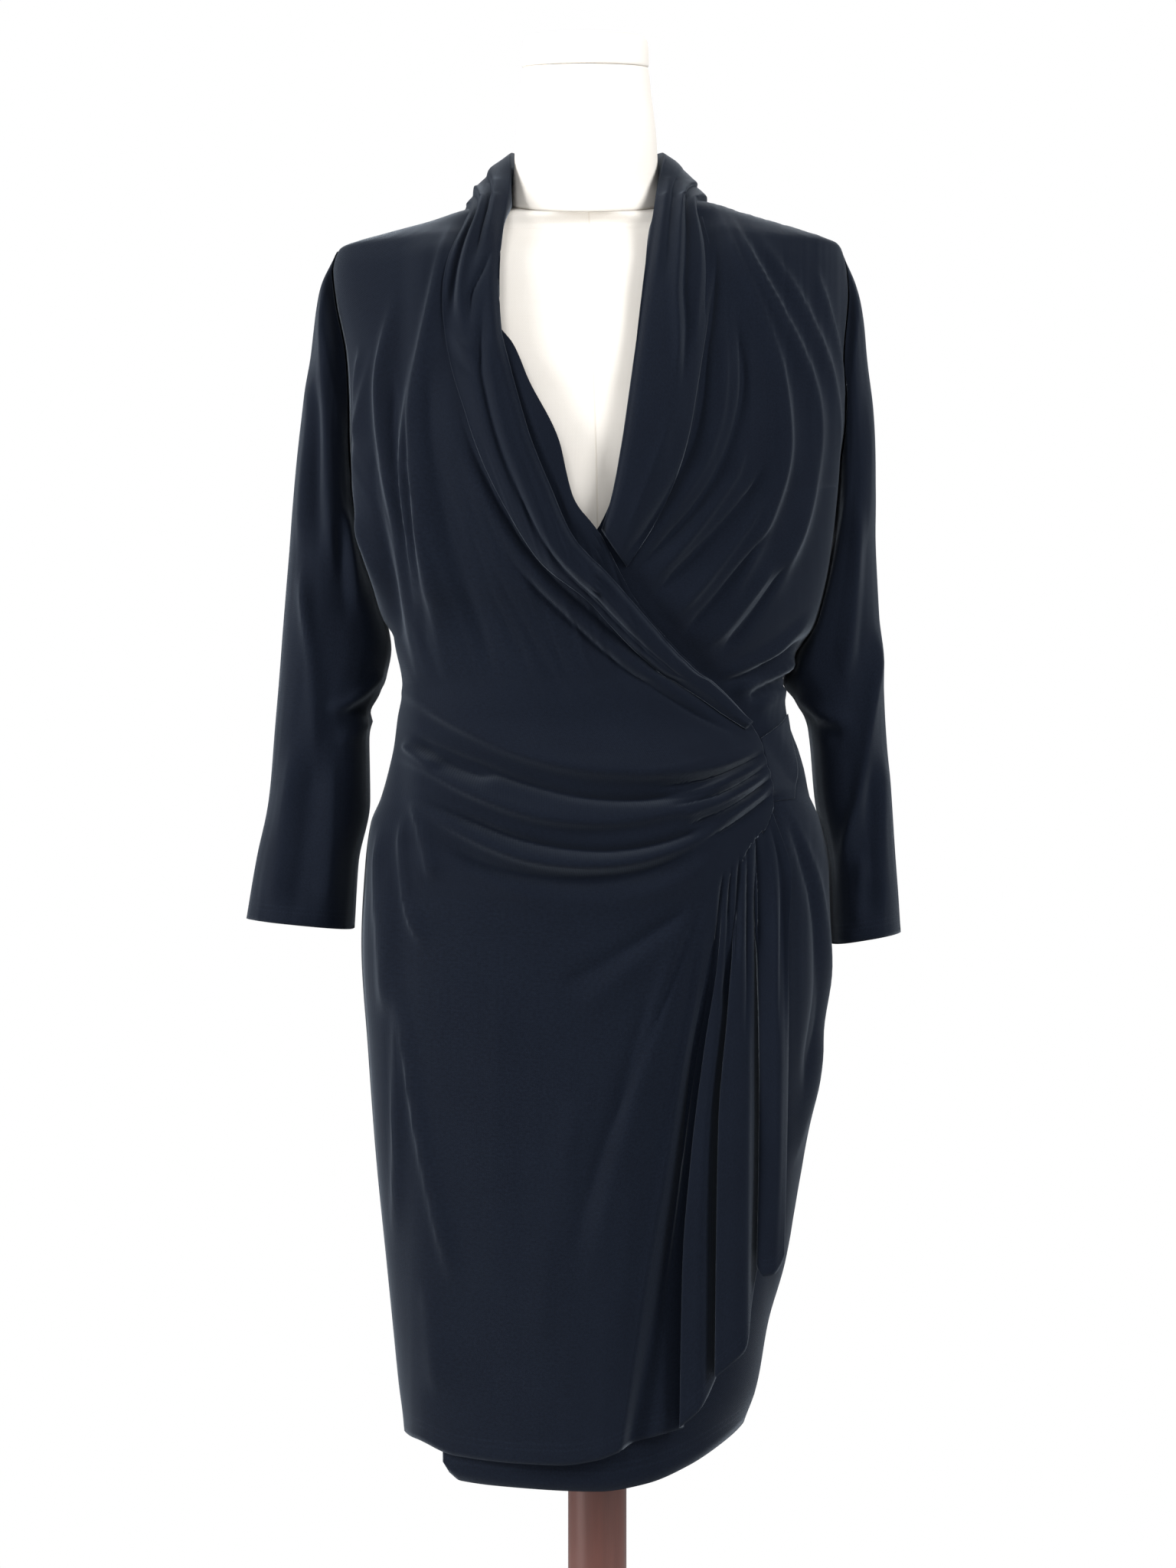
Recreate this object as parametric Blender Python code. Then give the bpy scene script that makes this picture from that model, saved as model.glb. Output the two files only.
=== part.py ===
"""A draped jersey wrap dress, standing on a limbless dress form with a wooden pole and a round base.

Run it with: blender --background --python part.py

The origin is on the floor under the pole's axis, +Z is up and the front faces -Y. The wearer's right
is at -X. Tables are in millimetres; a vertex becomes metres when it is set. The cloth is cut in
panels. Each panel is a grid whose rows and columns run with the drape. Its points are worked out on
the dress's body surface, which is a stack of rounded sections, and pushed out by the folds. Solidify
then gives the cloth its wall. The fold and edge tables are drawn on the front elevation, as it looks
to an eye EYE_AWAY in front of the axis at EYE_HEIGHT.
"""
from collections import namedtuple
from math import pi, radians

import bmesh
import bpy
import numpy as np

# ---- driving dimensions, millimetres ------------------------------------------------------------
CLOTH = 1.6              # wall of every cloth piece
SEAM = 0.3               # gap between neighbouring pieces
LAYER = 1.6              # air between the two fronts where one lies on the other
CENTRE_X = -4.0          # the body's middle plane
ROUNDNESS = 2.35         # exponent of the body's sections, 2 for an ellipse
UNDERARM_Z = 1207.0
SHOULDER_Z = 1382.0
NECK_POINT_Z = 1417.0    # where the shoulder seam meets the neck
ARMHOLE_BITE = 15.0      # degrees that the armhole cuts into the front and the back
HIP_ROW_Z = 900.0        # where the cascade's pleats begin to hang
SIDE_HEM_Z = 497.0
SEAM_FADE = 26.0         # how far from a side or shoulder seam the folds reach their full height
POLE_RADIUS = 22.0
POLE_TOP_Z = 700.0
POLE_SIDES, BASE_SIDES = 32, 36
BASE_RADIUS = 185.0
BASE_HEIGHT = 30.0
EYE_X = -7.0
EYE_AWAY = 2400.0
EYE_HEIGHT = 980.0

RIGHT, LEFT, BACK = -pi / 2, pi / 2, pi     # angles round the body, from its front


def curve(knots, values):
    """A smooth line through a few rows that never swings past them."""
    knots = np.array(knots, float)
    values = np.array(values, float)
    gap = np.diff(knots)
    rise = np.diff(values) / gap
    slope = np.zeros_like(values)
    steady = rise[:-1] * rise[1:] > 0
    slope[1:-1][steady] = 2 * rise[:-1][steady] * rise[1:][steady] / (rise[:-1] + rise[1:])[steady]
    slope[0] = rise[0]
    slope[-1] = rise[-1]

    def at(x):
        x = np.clip(x, knots[0], knots[-1])
        i = np.clip(np.searchsorted(knots, x) - 1, 0, len(knots) - 2)
        t = (x - knots[i]) / gap[i]
        near = (1 + 2 * t) * (1 - t) ** 2 * values[i] + t * (1 - t) ** 2 * gap[i] * slope[i]
        far = t * t * (3 - 2 * t) * values[i + 1] + t * t * (t - 1) * gap[i] * slope[i + 1]
        return near + far

    return at


def smooth(t):
    """0 to 1 with level ends."""
    t = np.clip(t, 0, 1)
    return t * t * (3 - 2 * t)


# ---- the body: the dress's inner surface, as sections from the hem up ----------------------------
Section = namedtuple("Section", "z right left front back ridge")
DRESS = [
    Section(440, 138, 108, 90, 97, 0),
    Section(497, 141, 113, 92, 100, 0),
    Section(530, 145, 124, 93, 102, 0),
    Section(570, 149, 131, 95, 104, 0),
    Section(620, 154, 142, 97, 108, 0),
    Section(700, 162, 156, 101, 113, 0),
    Section(780, 168, 168, 104, 118, 0),
    Section(860, 173, 176, 107, 122, 0),
    Section(920, 170, 175, 107, 120, 0),
    Section(950, 166, 169, 106, 114, 0),
    Section(970, 158, 162, 104, 107, 0),
    Section(1000, 150, 154, 100, 97, 0),
    Section(1030, 144, 144, 97, 90, 0),
    Section(1055, 136, 141, 97, 86, 0),
    Section(1070, 138, 145, 100, 86, 0),
    Section(1090, 140, 157, 106, 88, 0),
    Section(1110, 149, 166, 112, 91, 0),
    Section(1150, 170, 172, 121, 97, 0),
    Section(1190, 176, 177, 126, 102, 0),
    Section(1230, 181, 182, 127, 106, 0),
    Section(1270, 185, 186, 121, 109, 2),
    Section(1300, 188, 189, 112, 110, 4),
    Section(1340, 194, 191, 93, 108, 8),
    Section(1365, 195, 190, 78, 101, 11),
    Section(1382, 191, 187, 64, 92, 13),
    Section(1392, 162, 162, 55, 84, 13),
    Section(1400, 131, 134, 51, 76, 12),
    Section(1409, 101, 101, 50, 70, 10),
    Section(1413, 82, 82, 50, 67, 9),
    Section(1417, 66, 66, 52, 69, 8),
    Section(1432, 61, 61, 51, 66, 6),
]
FORM = [
    Section(POLE_TOP_Z, 138, 138, 84, 97, 0),
    Section(780, 147, 147, 91, 107, 0),
    Section(860, 160, 160, 98, 114, 0),
    Section(920, 158, 160, 99, 112, 0),
    Section(970, 145, 147, 96, 98, 0),
    Section(1000, 133, 134, 92, 88, 0),
    Section(1030, 124, 124, 88, 80, 0),
    Section(1055, 120, 120, 87, 77, 0),
    Section(1090, 126, 126, 93, 80, 0),
    Section(1150, 143, 143, 112, 89, 0),
    Section(1190, 151, 151, 119, 96, 0),
    Section(1230, 157, 157, 121, 101, 0),
    Section(1270, 160, 160, 115, 104, 1),
    Section(1300, 162, 162, 106, 105, 3),
    Section(1340, 168, 168, 85, 100, 7),
    Section(1365, 168, 168, 69, 90, 10),
    Section(1380, 164, 164, 55, 79, 12),
    Section(1388, 152, 152, 47, 71, 12),
]


def body_of(sections):
    """The surface through a stack of sections: a point from its angle and height, the angle under a
    point of the front, and a field that is 0 on the surface and grows outwards."""
    heights = [s.z for s in sections]
    right = curve(heights, [s.right for s in sections])
    left = curve(heights, [s.left for s in sections])
    front = curve(heights, [s.front + s.ridge for s in sections])
    back = curve(heights, [s.back - s.ridge for s in sections])
    ridge = curve(heights, [s.ridge for s in sections])

    def at(angle, z):
        side = np.sin(angle)
        width = np.where(side < 0, right(z), left(z))
        depth = (1 - np.minimum(np.abs(side), 1) ** ROUNDNESS) ** (1 / ROUNDNESS)
        reach = np.where(np.cos(angle) > 0, -front(z), back(z))
        return np.stack([CENTRE_X + width * side, ridge(z) + reach * depth, z + 0 * side], -1)

    def angle_of(x, z):
        width = np.where(x < CENTRE_X, right(z), left(z))
        return np.arcsin(np.clip((x - CENTRE_X) / width, -1, 1))

    def field(points):
        x, y, z = points[..., 0] - CENTRE_X, points[..., 1], points[..., 2]
        width = np.where(x < 0, right(z), left(z))
        y = y - ridge(z)
        reach = np.where(y < 0, front(z), back(z))
        return np.abs(x / width) ** ROUNDNESS + np.abs(y / reach) ** ROUNDNESS - 1

    return at, angle_of, field


body, body_angle, body_field = body_of(DRESS)
form_body = body_of(FORM)[0]
ridge_at = curve([s.z for s in DRESS], [s.ridge for s in DRESS])


def slope_of(points):
    """The body field's gradient."""
    steps = np.eye(3) * 0.5
    return np.stack([body_field(points + step) - body_field(points - step) for step in steps], -1)


def outward(points):
    """The body's unit normal at or near its surface."""
    slope = slope_of(points)
    return slope / np.maximum(np.linalg.norm(slope, axis=-1, keepdims=True), 1e-9)


def height_over(points):
    """About how far points stand out from the body."""
    return body_field(points) / np.maximum(np.linalg.norm(slope_of(points), axis=-1), 1e-9)


def settle(points):
    """Brings points onto the body's surface."""
    for _ in range(7):
        slope = slope_of(points)
        step = body_field(points) / np.maximum((slope ** 2).sum(-1), 1e-9)
        points = points - slope * np.clip(step, -1e6, 1e6)[..., None]
    return points


def keep_clear(points, least):
    """Lifts points that stand less than least out from the body."""
    for _ in range(3):
        short = np.maximum(least - height_over(points), 0)
        points = points + outward(points) * short[..., None]
    return points


def drawn(points):
    """World points as x and z on the front elevation."""
    near = EYE_AWAY / (EYE_AWAY + points[..., 1])
    return EYE_X + (points[..., 0] - EYE_X) * near, EYE_HEIGHT + (points[..., 2] - EYE_HEIGHT) * near


def from_drawing(x, z, lift=3.0):
    """The place on the body under a point of the front elevation."""
    x = np.asarray(x, float)
    z = np.asarray(z, float)
    depth = np.full_like(x, 100.0)
    for _ in range(8):
        scale = (EYE_AWAY - depth) / EYE_AWAY
        real_x = EYE_X + (x - EYE_X) * scale
        real_z = EYE_HEIGHT + (z - EYE_HEIGHT) * scale
        place = body(body_angle(real_x, real_z), real_z)
        depth = lift - place[..., 1]
    return place


# ---- folds ---------------------------------------------------------------------------------------
Fold = namedtuple("Fold", "height width line")


def fold_push(folds, points):
    """How far the folds push the cloth out: each is a soft ridge, or a trough, along its line."""
    x, z = drawn(points)
    push = np.zeros_like(x)
    for fold in folds:
        best = np.full_like(x, 1e9)
        along = np.zeros_like(x)
        line = np.array(fold.line, float)
        spans = np.linalg.norm(np.diff(line, axis=0), axis=1)
        done = 0.0
        for start, end, span in zip(line[:-1], line[1:], spans):
            way = (end - start) / span
            t = np.clip((x - start[0]) * way[0] + (z - start[1]) * way[1], 0, span)
            away = np.hypot(x - start[0] - way[0] * t, z - start[1] - way[1] * t)
            closer = away < best
            best = np.where(closer, away, best)
            along = np.where(closer, (done + t) / spans.sum(), along)
            done += span
        ends = smooth(along / 0.25 + 0.15) * smooth((1 - along) / 0.25 + 0.15)
        push += fold.height * ends * np.exp(-(best / fold.width) ** 2)
    return push


def clear_of_seams(points):
    """1 on the front, fading to 0 at the side and shoulder seams, where folds die out."""
    return smooth((ridge_at(points[..., 2]) - points[..., 1] - 1) / SEAM_FADE)


# Ridges and troughs of the left front, in the order they fall from the shoulder to the wrap.
LEFT_FRONT_FOLDS = [
    Fold(6.8, 9, [(84, 1420), (95, 1395), (113, 1345), (130, 1290), (139, 1240), (132, 1195), (100, 1135)]),
    Fold(8.1, 9, [(92, 1416), (120, 1365), (148, 1305), (161, 1250), (155, 1200), (140, 1165), (118, 1120)]),
    Fold(6, 8, [(130, 1375), (158, 1320), (170, 1265), (170, 1210), (163, 1140), (158, 1100)]),
    Fold(5.4, 8, [(92, 1330), (90, 1270), (78, 1220), (58, 1180), (34, 1142)]),
    Fold(5.4, 8, [(118, 1260), (110, 1210), (88, 1170), (60, 1135), (48, 1112)]),
    Fold(5.4, 8, [(112, 1140), (92, 1112), (72, 1090)]),
    Fold(5.4, 7, [(152, 1090), (125, 1066), (98, 1050)]),
    Fold(-4.1, 6, [(106, 1300), (97, 1240), (70, 1190), (36, 1146)]),
]

# Folds of the right front: the drape from the shoulder, the blouse over the waist, then the swags.
RIGHT_FRONT_FOLDS = [
    Fold(8.1, 9, [(-118, 1385), (-128, 1310), (-136, 1250), (-131, 1190), (-122, 1140), (-110, 1065)]),
    Fold(8.1, 9, [(-152, 1350), (-166, 1295), (-166, 1235), (-152, 1180), (-136, 1120), (-126, 1060)]),
    Fold(6.8, 8, [(-178, 1340), (-180, 1270), (-181, 1200), (-168, 1140), (-147, 1095)]),
    Fold(5.4, 8, [(-146, 1260), (-146, 1205), (-136, 1140), (-124, 1060)]),
    Fold(6.8, 10, [(-100, 1230), (-70, 1160), (-30, 1115), (20, 1066), (75, 1030), (108, 1014)]),
    Fold(-5.4, 7, [(-118, 1240), (-104, 1180), (-74, 1118), (-46, 1056)]),
    Fold(6.9, 11, [(-142, 1056), (-115, 1046), (-85, 1028), (-55, 1014), (0, 996), (60, 992), (108, 1004)]),
    Fold(-6.9, 8, [(-140, 1036), (-110, 1016), (-70, 992), (-20, 968), (30, 964), (70, 970)]),
    Fold(5.75, 8, [(-150, 1000), (-110, 994), (-60, 962), (0, 950), (60, 962), (108, 986)]),
    Fold(-6.9, 8, [(-120, 968), (-80, 945), (-40, 931), (0, 930), (50, 938), (100, 958)]),
    Fold(4.6, 8, [(-150, 950), (-90, 930), (0, 919), (60, 930), (112, 962)]),
    Fold(-4.6, 9, [(-90, 915), (-20, 906), (30, 912), (80, 934)]),
    Fold(4.6, 10, [(-140, 965), (-128, 930), (-122, 880), (-112, 800)]),
    Fold(4.6, 8, [(-160, 955), (-162, 900), (-158, 840)]),
    Fold(-4.6, 8, [(84, 905), (62, 850), (44, 800), (26, 745), (-8, 675)]),
]


# ---- panels --------------------------------------------------------------------------------------
EVENING_STEPS = 30       # rounds of evening out the grid inside the back's edges


def patch(bottom, top, left, right, u, v, steps=0):
    """Points inside four edges, on the body. Each edge is an array of points."""
    u = u[None, :, None]
    v = v[:, None, None]
    sides = (1 - u) * left[:, None] + u * right[:, None]
    ends = (1 - v) * bottom[None] + v * top[None]
    corners = ((1 - u) * (1 - v) * bottom[0] + u * (1 - v) * bottom[-1]
               + (1 - u) * v * top[0] + u * v * top[-1])
    points = settle(sides + ends - corners)
    for _ in range(steps):
        around = points[:-2, 1:-1] + points[2:, 1:-1] + points[1:-1, :-2] + points[1:-1, 2:]
        points[1:-1, 1:-1] = around / 4
        points = settle(points)
    return points


def along_rows(table, v):
    """The place on the body at each v of an edge drawn on the elevation."""
    knots = [row.v for row in table]
    x = curve(knots, [row.x for row in table])(v)
    return from_drawing(x, curve(knots, [row.z for row in table])(v))


def armhole_heights(rows):
    """Heights of the cut edge's points, from the underarm to the shoulder."""
    middle = (SHOULDER_Z + UNDERARM_Z) / 2
    return middle - (SHOULDER_Z - UNDERARM_Z) / 2 * np.cos(pi * np.linspace(0, 1, rows + 1))


def side_points(seat, z, turn):
    """The side seam below the underarm and the armhole's cut edge above it. turn is +1 or -1, the
    way round that the armhole cuts in."""
    rise = np.clip((z - UNDERARM_Z) / (SHOULDER_Z - UNDERARM_Z), 0, 1)
    bite = radians(ARMHOLE_BITE) * np.sin(pi * rise) ** 0.7
    return body(seat + turn * bite, z)


def shoulder_points(seat, share):
    """The ridge of a shoulder, from its tip at share 0 to the neck at share 1."""
    side = np.sign(np.sin(seat))
    rows = [s for s in DRESS if SHOULDER_Z <= s.z <= NECK_POINT_Z]
    widths = [s.right if side < 0 else s.left for s in rows]
    width = widths[0] + (widths[-1] - widths[0]) * share
    z = np.interp(-width, [-w for w in widths], [s.z for s in rows])
    ridge = np.interp(z, [s.z for s in rows], [s.ridge for s in rows])
    return settle(np.stack([CENTRE_X + side * width, ridge, z], -1))


CLOTH_COLOUR, CLOTH_ROUGHNESS = (0.012, 0.012, 0.017), 0.68
SHARP = radians(50)


def make_material(name, colour, roughness):
    material = bpy.data.materials.new(name)
    material.use_nodes = True
    shader = material.node_tree.nodes["Principled BSDF"]
    shader.inputs["Base Color"].default_value = (*colour, 1)
    shader.inputs["Roughness"].default_value = roughness
    shader.inputs["Metallic"].default_value = 0
    return material


def place_mesh(name, bm, material):
    """Turns a finished bmesh, still in millimetres, into an object in metres."""
    bmesh.ops.scale(bm, vec=(0.001, 0.001, 0.001), verts=bm.verts)
    mesh = bpy.data.meshes.new(name)
    bm.to_mesh(mesh)
    bm.free()
    mesh.materials.append(material)
    mesh.shade_smooth()
    mesh.set_sharp_from_angle(angle=SHARP)
    item = bpy.data.objects.new(name, mesh)
    bpy.context.collection.objects.link(item)
    return item


def cloth(name, points, wall_side=1.0):
    """One cloth piece from a grid of points. Seen from outside, the rows run up and the columns run
    to the right. wall_side is 1 for a wall outside the points, -1 inside and 0 for half each."""
    rows, columns = points.shape[:2]
    bm = bmesh.new()
    bmesh.ops.create_grid(bm, x_segments=columns - 1, y_segments=rows - 1, size=1)
    bm.verts.ensure_lookup_table()
    for vertex, place in zip(bm.verts, points.reshape(-1, 3)):
        vertex.co = place
    bmesh.ops.triangulate(bm, faces=bm.faces)
    item = place_mesh(name, bm, make_material(name, CLOTH_COLOUR, CLOTH_ROUGHNESS))
    wall = item.modifiers.new("Wall", "SOLIDIFY")
    wall.thickness = CLOTH / 1000
    wall.offset = wall_side
    return item


ARMHOLE_ROWS = 9


# ---- left front: the panel underneath ------------------------------------------------------------
LEFT_SKIRT_ROWS, LEFT_WAIST_ROWS, LEFT_COLUMNS = 8, 8, 18
LEFT_WAIST_Z = 1005.0
FREE_EDGE_X = -113.0
Edge = namedtuple("Edge", "v x z")
# Its neckline edge, from where it lies hidden at the right waist, over the V, to the collarbone.
LEFT_NECKLINE = [
    Edge(0.00, -124, 1000), Edge(0.20, -84, 1060), Edge(0.36, -42, 1118), Edge(0.48, 0, 1172),
    Edge(0.56, 12, 1200), Edge(0.66, 22, 1250), Edge(0.76, 32, 1315), Edge(0.84, 40, 1372),
    Edge(0.90, 45, 1398),
]
# Its hem, from the rounded lower corner to the side seam.
LEFT_HEM = [
    Edge(0.00, -108, 476), Edge(0.03, -100, 471), Edge(0.20, -60, 469), Edge(0.45, 0, 467),
    Edge(0.60, 35, 472), Edge(0.75, 66, 483), Edge(0.88, 92, 496), Edge(1.00, 109, 505),
]


def left_front_push(flat):
    """Folds of the left front. They die out where the right front covers them."""
    shown_x, shown_z = drawn(flat)
    below_wrap = 1172 - 1.33 * np.maximum(shown_x, 0) - 60 * (shown_x < 0) - shown_z
    shown = 1 - smooth((below_wrap + 22) / 24)
    return np.maximum(fold_push(LEFT_FRONT_FOLDS, flat), 0) * shown * clear_of_seams(flat)


def neck_end(edge, rows, neck_point):
    """Ends a neckline drawn up to the collarbone with a last stretch to the neck point."""
    share = np.linspace(0, 1, rows + 1)[1:, None]
    return np.vstack([edge, settle(edge[-1] + (neck_point - edge[-1]) * share)])


def left_front_points(skirt_rows, waist_rows, armhole_rows, columns):
    u = np.linspace(0, 1, columns + 1)
    rows = waist_rows + armhole_rows
    v = np.linspace(0, 1, rows + 1)
    end_rows = max(2, round(rows * 0.1))
    shoulder = shoulder_points(LEFT, 1 - u)
    neckline = neck_end(along_rows(LEFT_NECKLINE, v[:-end_rows] * 0.9 / v[-end_rows - 1]),
                        end_rows, shoulder[0])
    waist_z = LEFT_WAIST_Z + (UNDERARM_Z - LEFT_WAIST_Z) * np.linspace(0, 1, waist_rows + 1)
    side_z = np.append(waist_z[:-1], armhole_heights(armhole_rows))
    side = side_points(LEFT, side_z, -1)
    start = body_angle(neckline[0, 0], neckline[0, 2])
    angle = start + (LEFT - start) * u
    waist = body(angle, neckline[0, 2] + (LEFT_WAIST_Z - neckline[0, 2]) * u)
    waist[0] = neckline[0]
    bodice = patch(waist, shoulder, neckline, side, u, v)

    knots = [row.v for row in LEFT_HEM]
    hem_z = curve(knots, [row.z for row in LEFT_HEM])(u)
    hem_angle = body_angle(curve(knots, [row.x for row in LEFT_HEM])(u), hem_z)
    hem_angle[-1] = LEFT
    down = np.linspace(0, 1, skirt_rows + 1)[:-1, None]
    z = hem_z + (waist[:, 2] - hem_z) * down
    free = body_angle(FREE_EDGE_X + 0 * z[:, 0], z[:, 0])
    free[0] = hem_angle[0]
    turn = hem_angle + (angle - hem_angle) * down
    turn = turn + ((free - turn[:, 0])[:, None]) * (1 - u) ** 2 * (1 - down ** 3)
    flat = np.concatenate([body(turn, z), bodice])
    push = left_front_push(flat)
    return flat + outward(flat) * push[..., None] + np.array([0, -SEAM / 2, 0])


# ---- right front: the panel on top, with its cascade ----------------------------------------------
# The cascade, one row for each line of cloth from the hip row down, towards the free edge. Head is
# where the line starts, x its place at four heights below the head, depth how far it hangs in front
# of the axis, and hem_z where it ends. Where x turns back, the cloth is folded behind a pleat.
Thread = namedtuple("Thread", "name head_x head_z x15 x30 x50 x70 x_hem depth30 depth60 depth_hem hem_z")
CASCADE = [
    Thread("shelf", 78.0, 897, 71.0, 60.0, 47.0, 33.0, 16.0, 105.0, 107.5, 102.0, 499),
    Thread("valley", 84.0, 904, 80.0, 70.0, 60.5, 48.0, 25.0, 99.5, 102.0, 97.0, 503),
    Thread("rise", 87.0, 907, 83.5, 74.0, 63.5, 54.0, 41.0, 101.0, 104.0, 99.5, 508),
    Thread("tuck_a", 89.0, 909, 85.5, 76.5, 66.5, 63.0, 62.5, 101.0, 101.5, 92.5, 514),
    Thread("edge_a", 91.5, 911, 87.3, 78.0, 68.0, 61.7, 59.5, 104.5, 108.5, 102.5, 516),
    Thread("face_a", 95.0, 915, 91.0, 84.0, 76.5, 73.0, 73.0, 103.5, 108.0, 101.5, 528),
    Thread("tuck_b", 99.0, 920, 95.5, 91.5, 89.5, 88.5, 86.0, 98.5, 101.0, 96.0, 553),
    Thread("edge_b", 102.0, 923, 98.5, 94.0, 87.5, 86.0, 85.0, 104.0, 110.0, 105.0, 553),
    Thread("face_b", 105.0, 929, 103.5, 101.0, 97.5, 96.5, 96.0, 103.0, 110.0, 105.0, 562),
    Thread("side_b", 108.0, 935, 107.8, 106.5, 105.0, 105.0, 105.5, 100.5, 107.0, 102.5, 574),
    Thread("fall_b", 110.0, 937, 110.3, 110.0, 109.3, 108.5, 108.0, 98.0, 104.0, 99.0, 605),
    Thread("tuck_c", 112.0, 940, 112.7, 113.0, 113.5, 114.5, 115.5, 91.0, 94.5, 95.0, 638),
    Thread("edge_c", 115.0, 943, 117.0, 117.0, 117.0, 116.3, 114.0, 96.5, 103.0, 103.0, 631),
    Thread("face_c", 118.0, 946, 122.0, 122.0, 121.5, 120.5, 119.0, 98.0, 105.0, 104.5, 625),
    Thread("crest_c", 120.0, 951, 130.0, 130.0, 129.0, 127.5, 124.5, 98.5, 105.0, 103.0, 634),
    Thread("hollow_c", 121.5, 956, 135.5, 133.0, 132.5, 131.5, 128.5, 91.5, 100.0, 100.0, 640),
    Thread("free_edge", 122.5, 961, 140.5, 137.5, 136.0, 135.5, 132.5, 91.0, 95.0, 97.0, 645),
]
RIGHT_HEM = [
    Edge(0.00, -145, 497), Edge(0.10, -130, 497), Edge(0.22, -104, 490), Edge(0.45, -60, 488),
    Edge(0.65, -30, 488), Edge(0.85, -2, 492), Edge(1.00, 16, 499),
]
HIP_ROW = [Edge(0.0, -174, 900), Edge(0.4, -70, 897), Edge(0.75, 20, 893), Edge(1.0, 78, 897)]
# From the foot of the gathers, up the gather seam and the wrap edge, over the V, to the collarbone.
RIGHT_NECKLINE = [
    Edge(0.00, 128, 960), Edge(0.12, 126, 977), Edge(0.24, 121, 994), Edge(0.36, 117, 1010),
    Edge(0.42, 111, 1023), Edge(0.47, 90, 1050), Edge(0.52, 60, 1082), Edge(0.57, 30, 1118),
    Edge(0.63, 0, 1172), Edge(0.67, -18, 1196), Edge(0.72, -29, 1240), Edge(0.77, -50, 1280),
    Edge(0.81, -62, 1308), Edge(0.84, -80, 1335), Edge(0.88, -82, 1375), Edge(0.92, -80, 1400),
]
HIP_COLUMNS, SKIRT_ROWS, WAIST_ROWS, SIDE_ROWS = 13, 10, 14, 5
BLOUSE_Z = 1055.0        # where the side seam leaves the swags and starts up the bodice
GATHER_LIFT = 3.5        # how far the gathers stand up where they are sewn in
SHOULDER_SHARE = 0.55    # share of the shoulder seam that the plain columns reach


def right_front_push(flat):
    """How far the right front lies out from the body, folds and all, and always clear of the left."""
    x, height = drawn(flat)
    covered = smooth((x + 150) / 24) * smooth((1404 - height) / 30)
    rest = covered * (CLOTH + LAYER + left_front_push(flat))
    folds = fold_push(RIGHT_FRONT_FOLDS, flat) + GATHER_LIFT * (
        covered * np.exp(-((height - 975) / 60) ** 2)
        + np.exp(-((x - 118) ** 2 + (height - 990) ** 2) / 28 ** 2))
    return (rest + np.maximum(folds, 0)) * clear_of_seams(flat)


def across_lines(rows, column):
    """Spreads values given at each cascade line over the columns, row by row."""
    order = np.arange(len(CASCADE))
    return np.stack([curve(order, row)(column) for row in rows])


def cascade_points(down, column):
    """The cascade's points and its heads on the body. down runs from 0 at the heads to 1 at the hem."""
    head_x = np.array([t.head_x for t in CASCADE])
    head_z = np.array([float(t.head_z) for t in CASCADE])
    flat = body(body_angle(head_x, head_z), head_z)
    heads = flat + outward(flat) * right_front_push(flat)[..., None]
    steps = [0, 0.15, 0.3, 0.5, 0.7, 1]
    lines = [(h[0], t.x15, t.x30, t.x50, t.x70, t.x_hem) for t, h in zip(CASCADE, heads)]
    x = across_lines(np.stack([curve(steps, line)(down) for line in lines], -1), column)
    lines = [(-h[1], t.depth30, t.depth60, t.depth_hem) for t, h in zip(CASCADE, heads)]
    depth = across_lines(np.stack([curve([0, 0.3, 0.6, 1], line)(down) for line in lines], -1), column)
    hem_z = np.array([t.hem_z for t in CASCADE])
    z = across_lines(head_z + (hem_z - head_z) * down[:, None], column)
    points = np.stack([x, -depth, z], -1)
    order = np.arange(len(CASCADE))
    flat = np.stack([curve(order, flat[:, k])(column) for k in range(3)], -1)
    flat = settle(flat)
    points[0] = flat + outward(flat) * right_front_push(flat)[..., None]
    return points, flat


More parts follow.
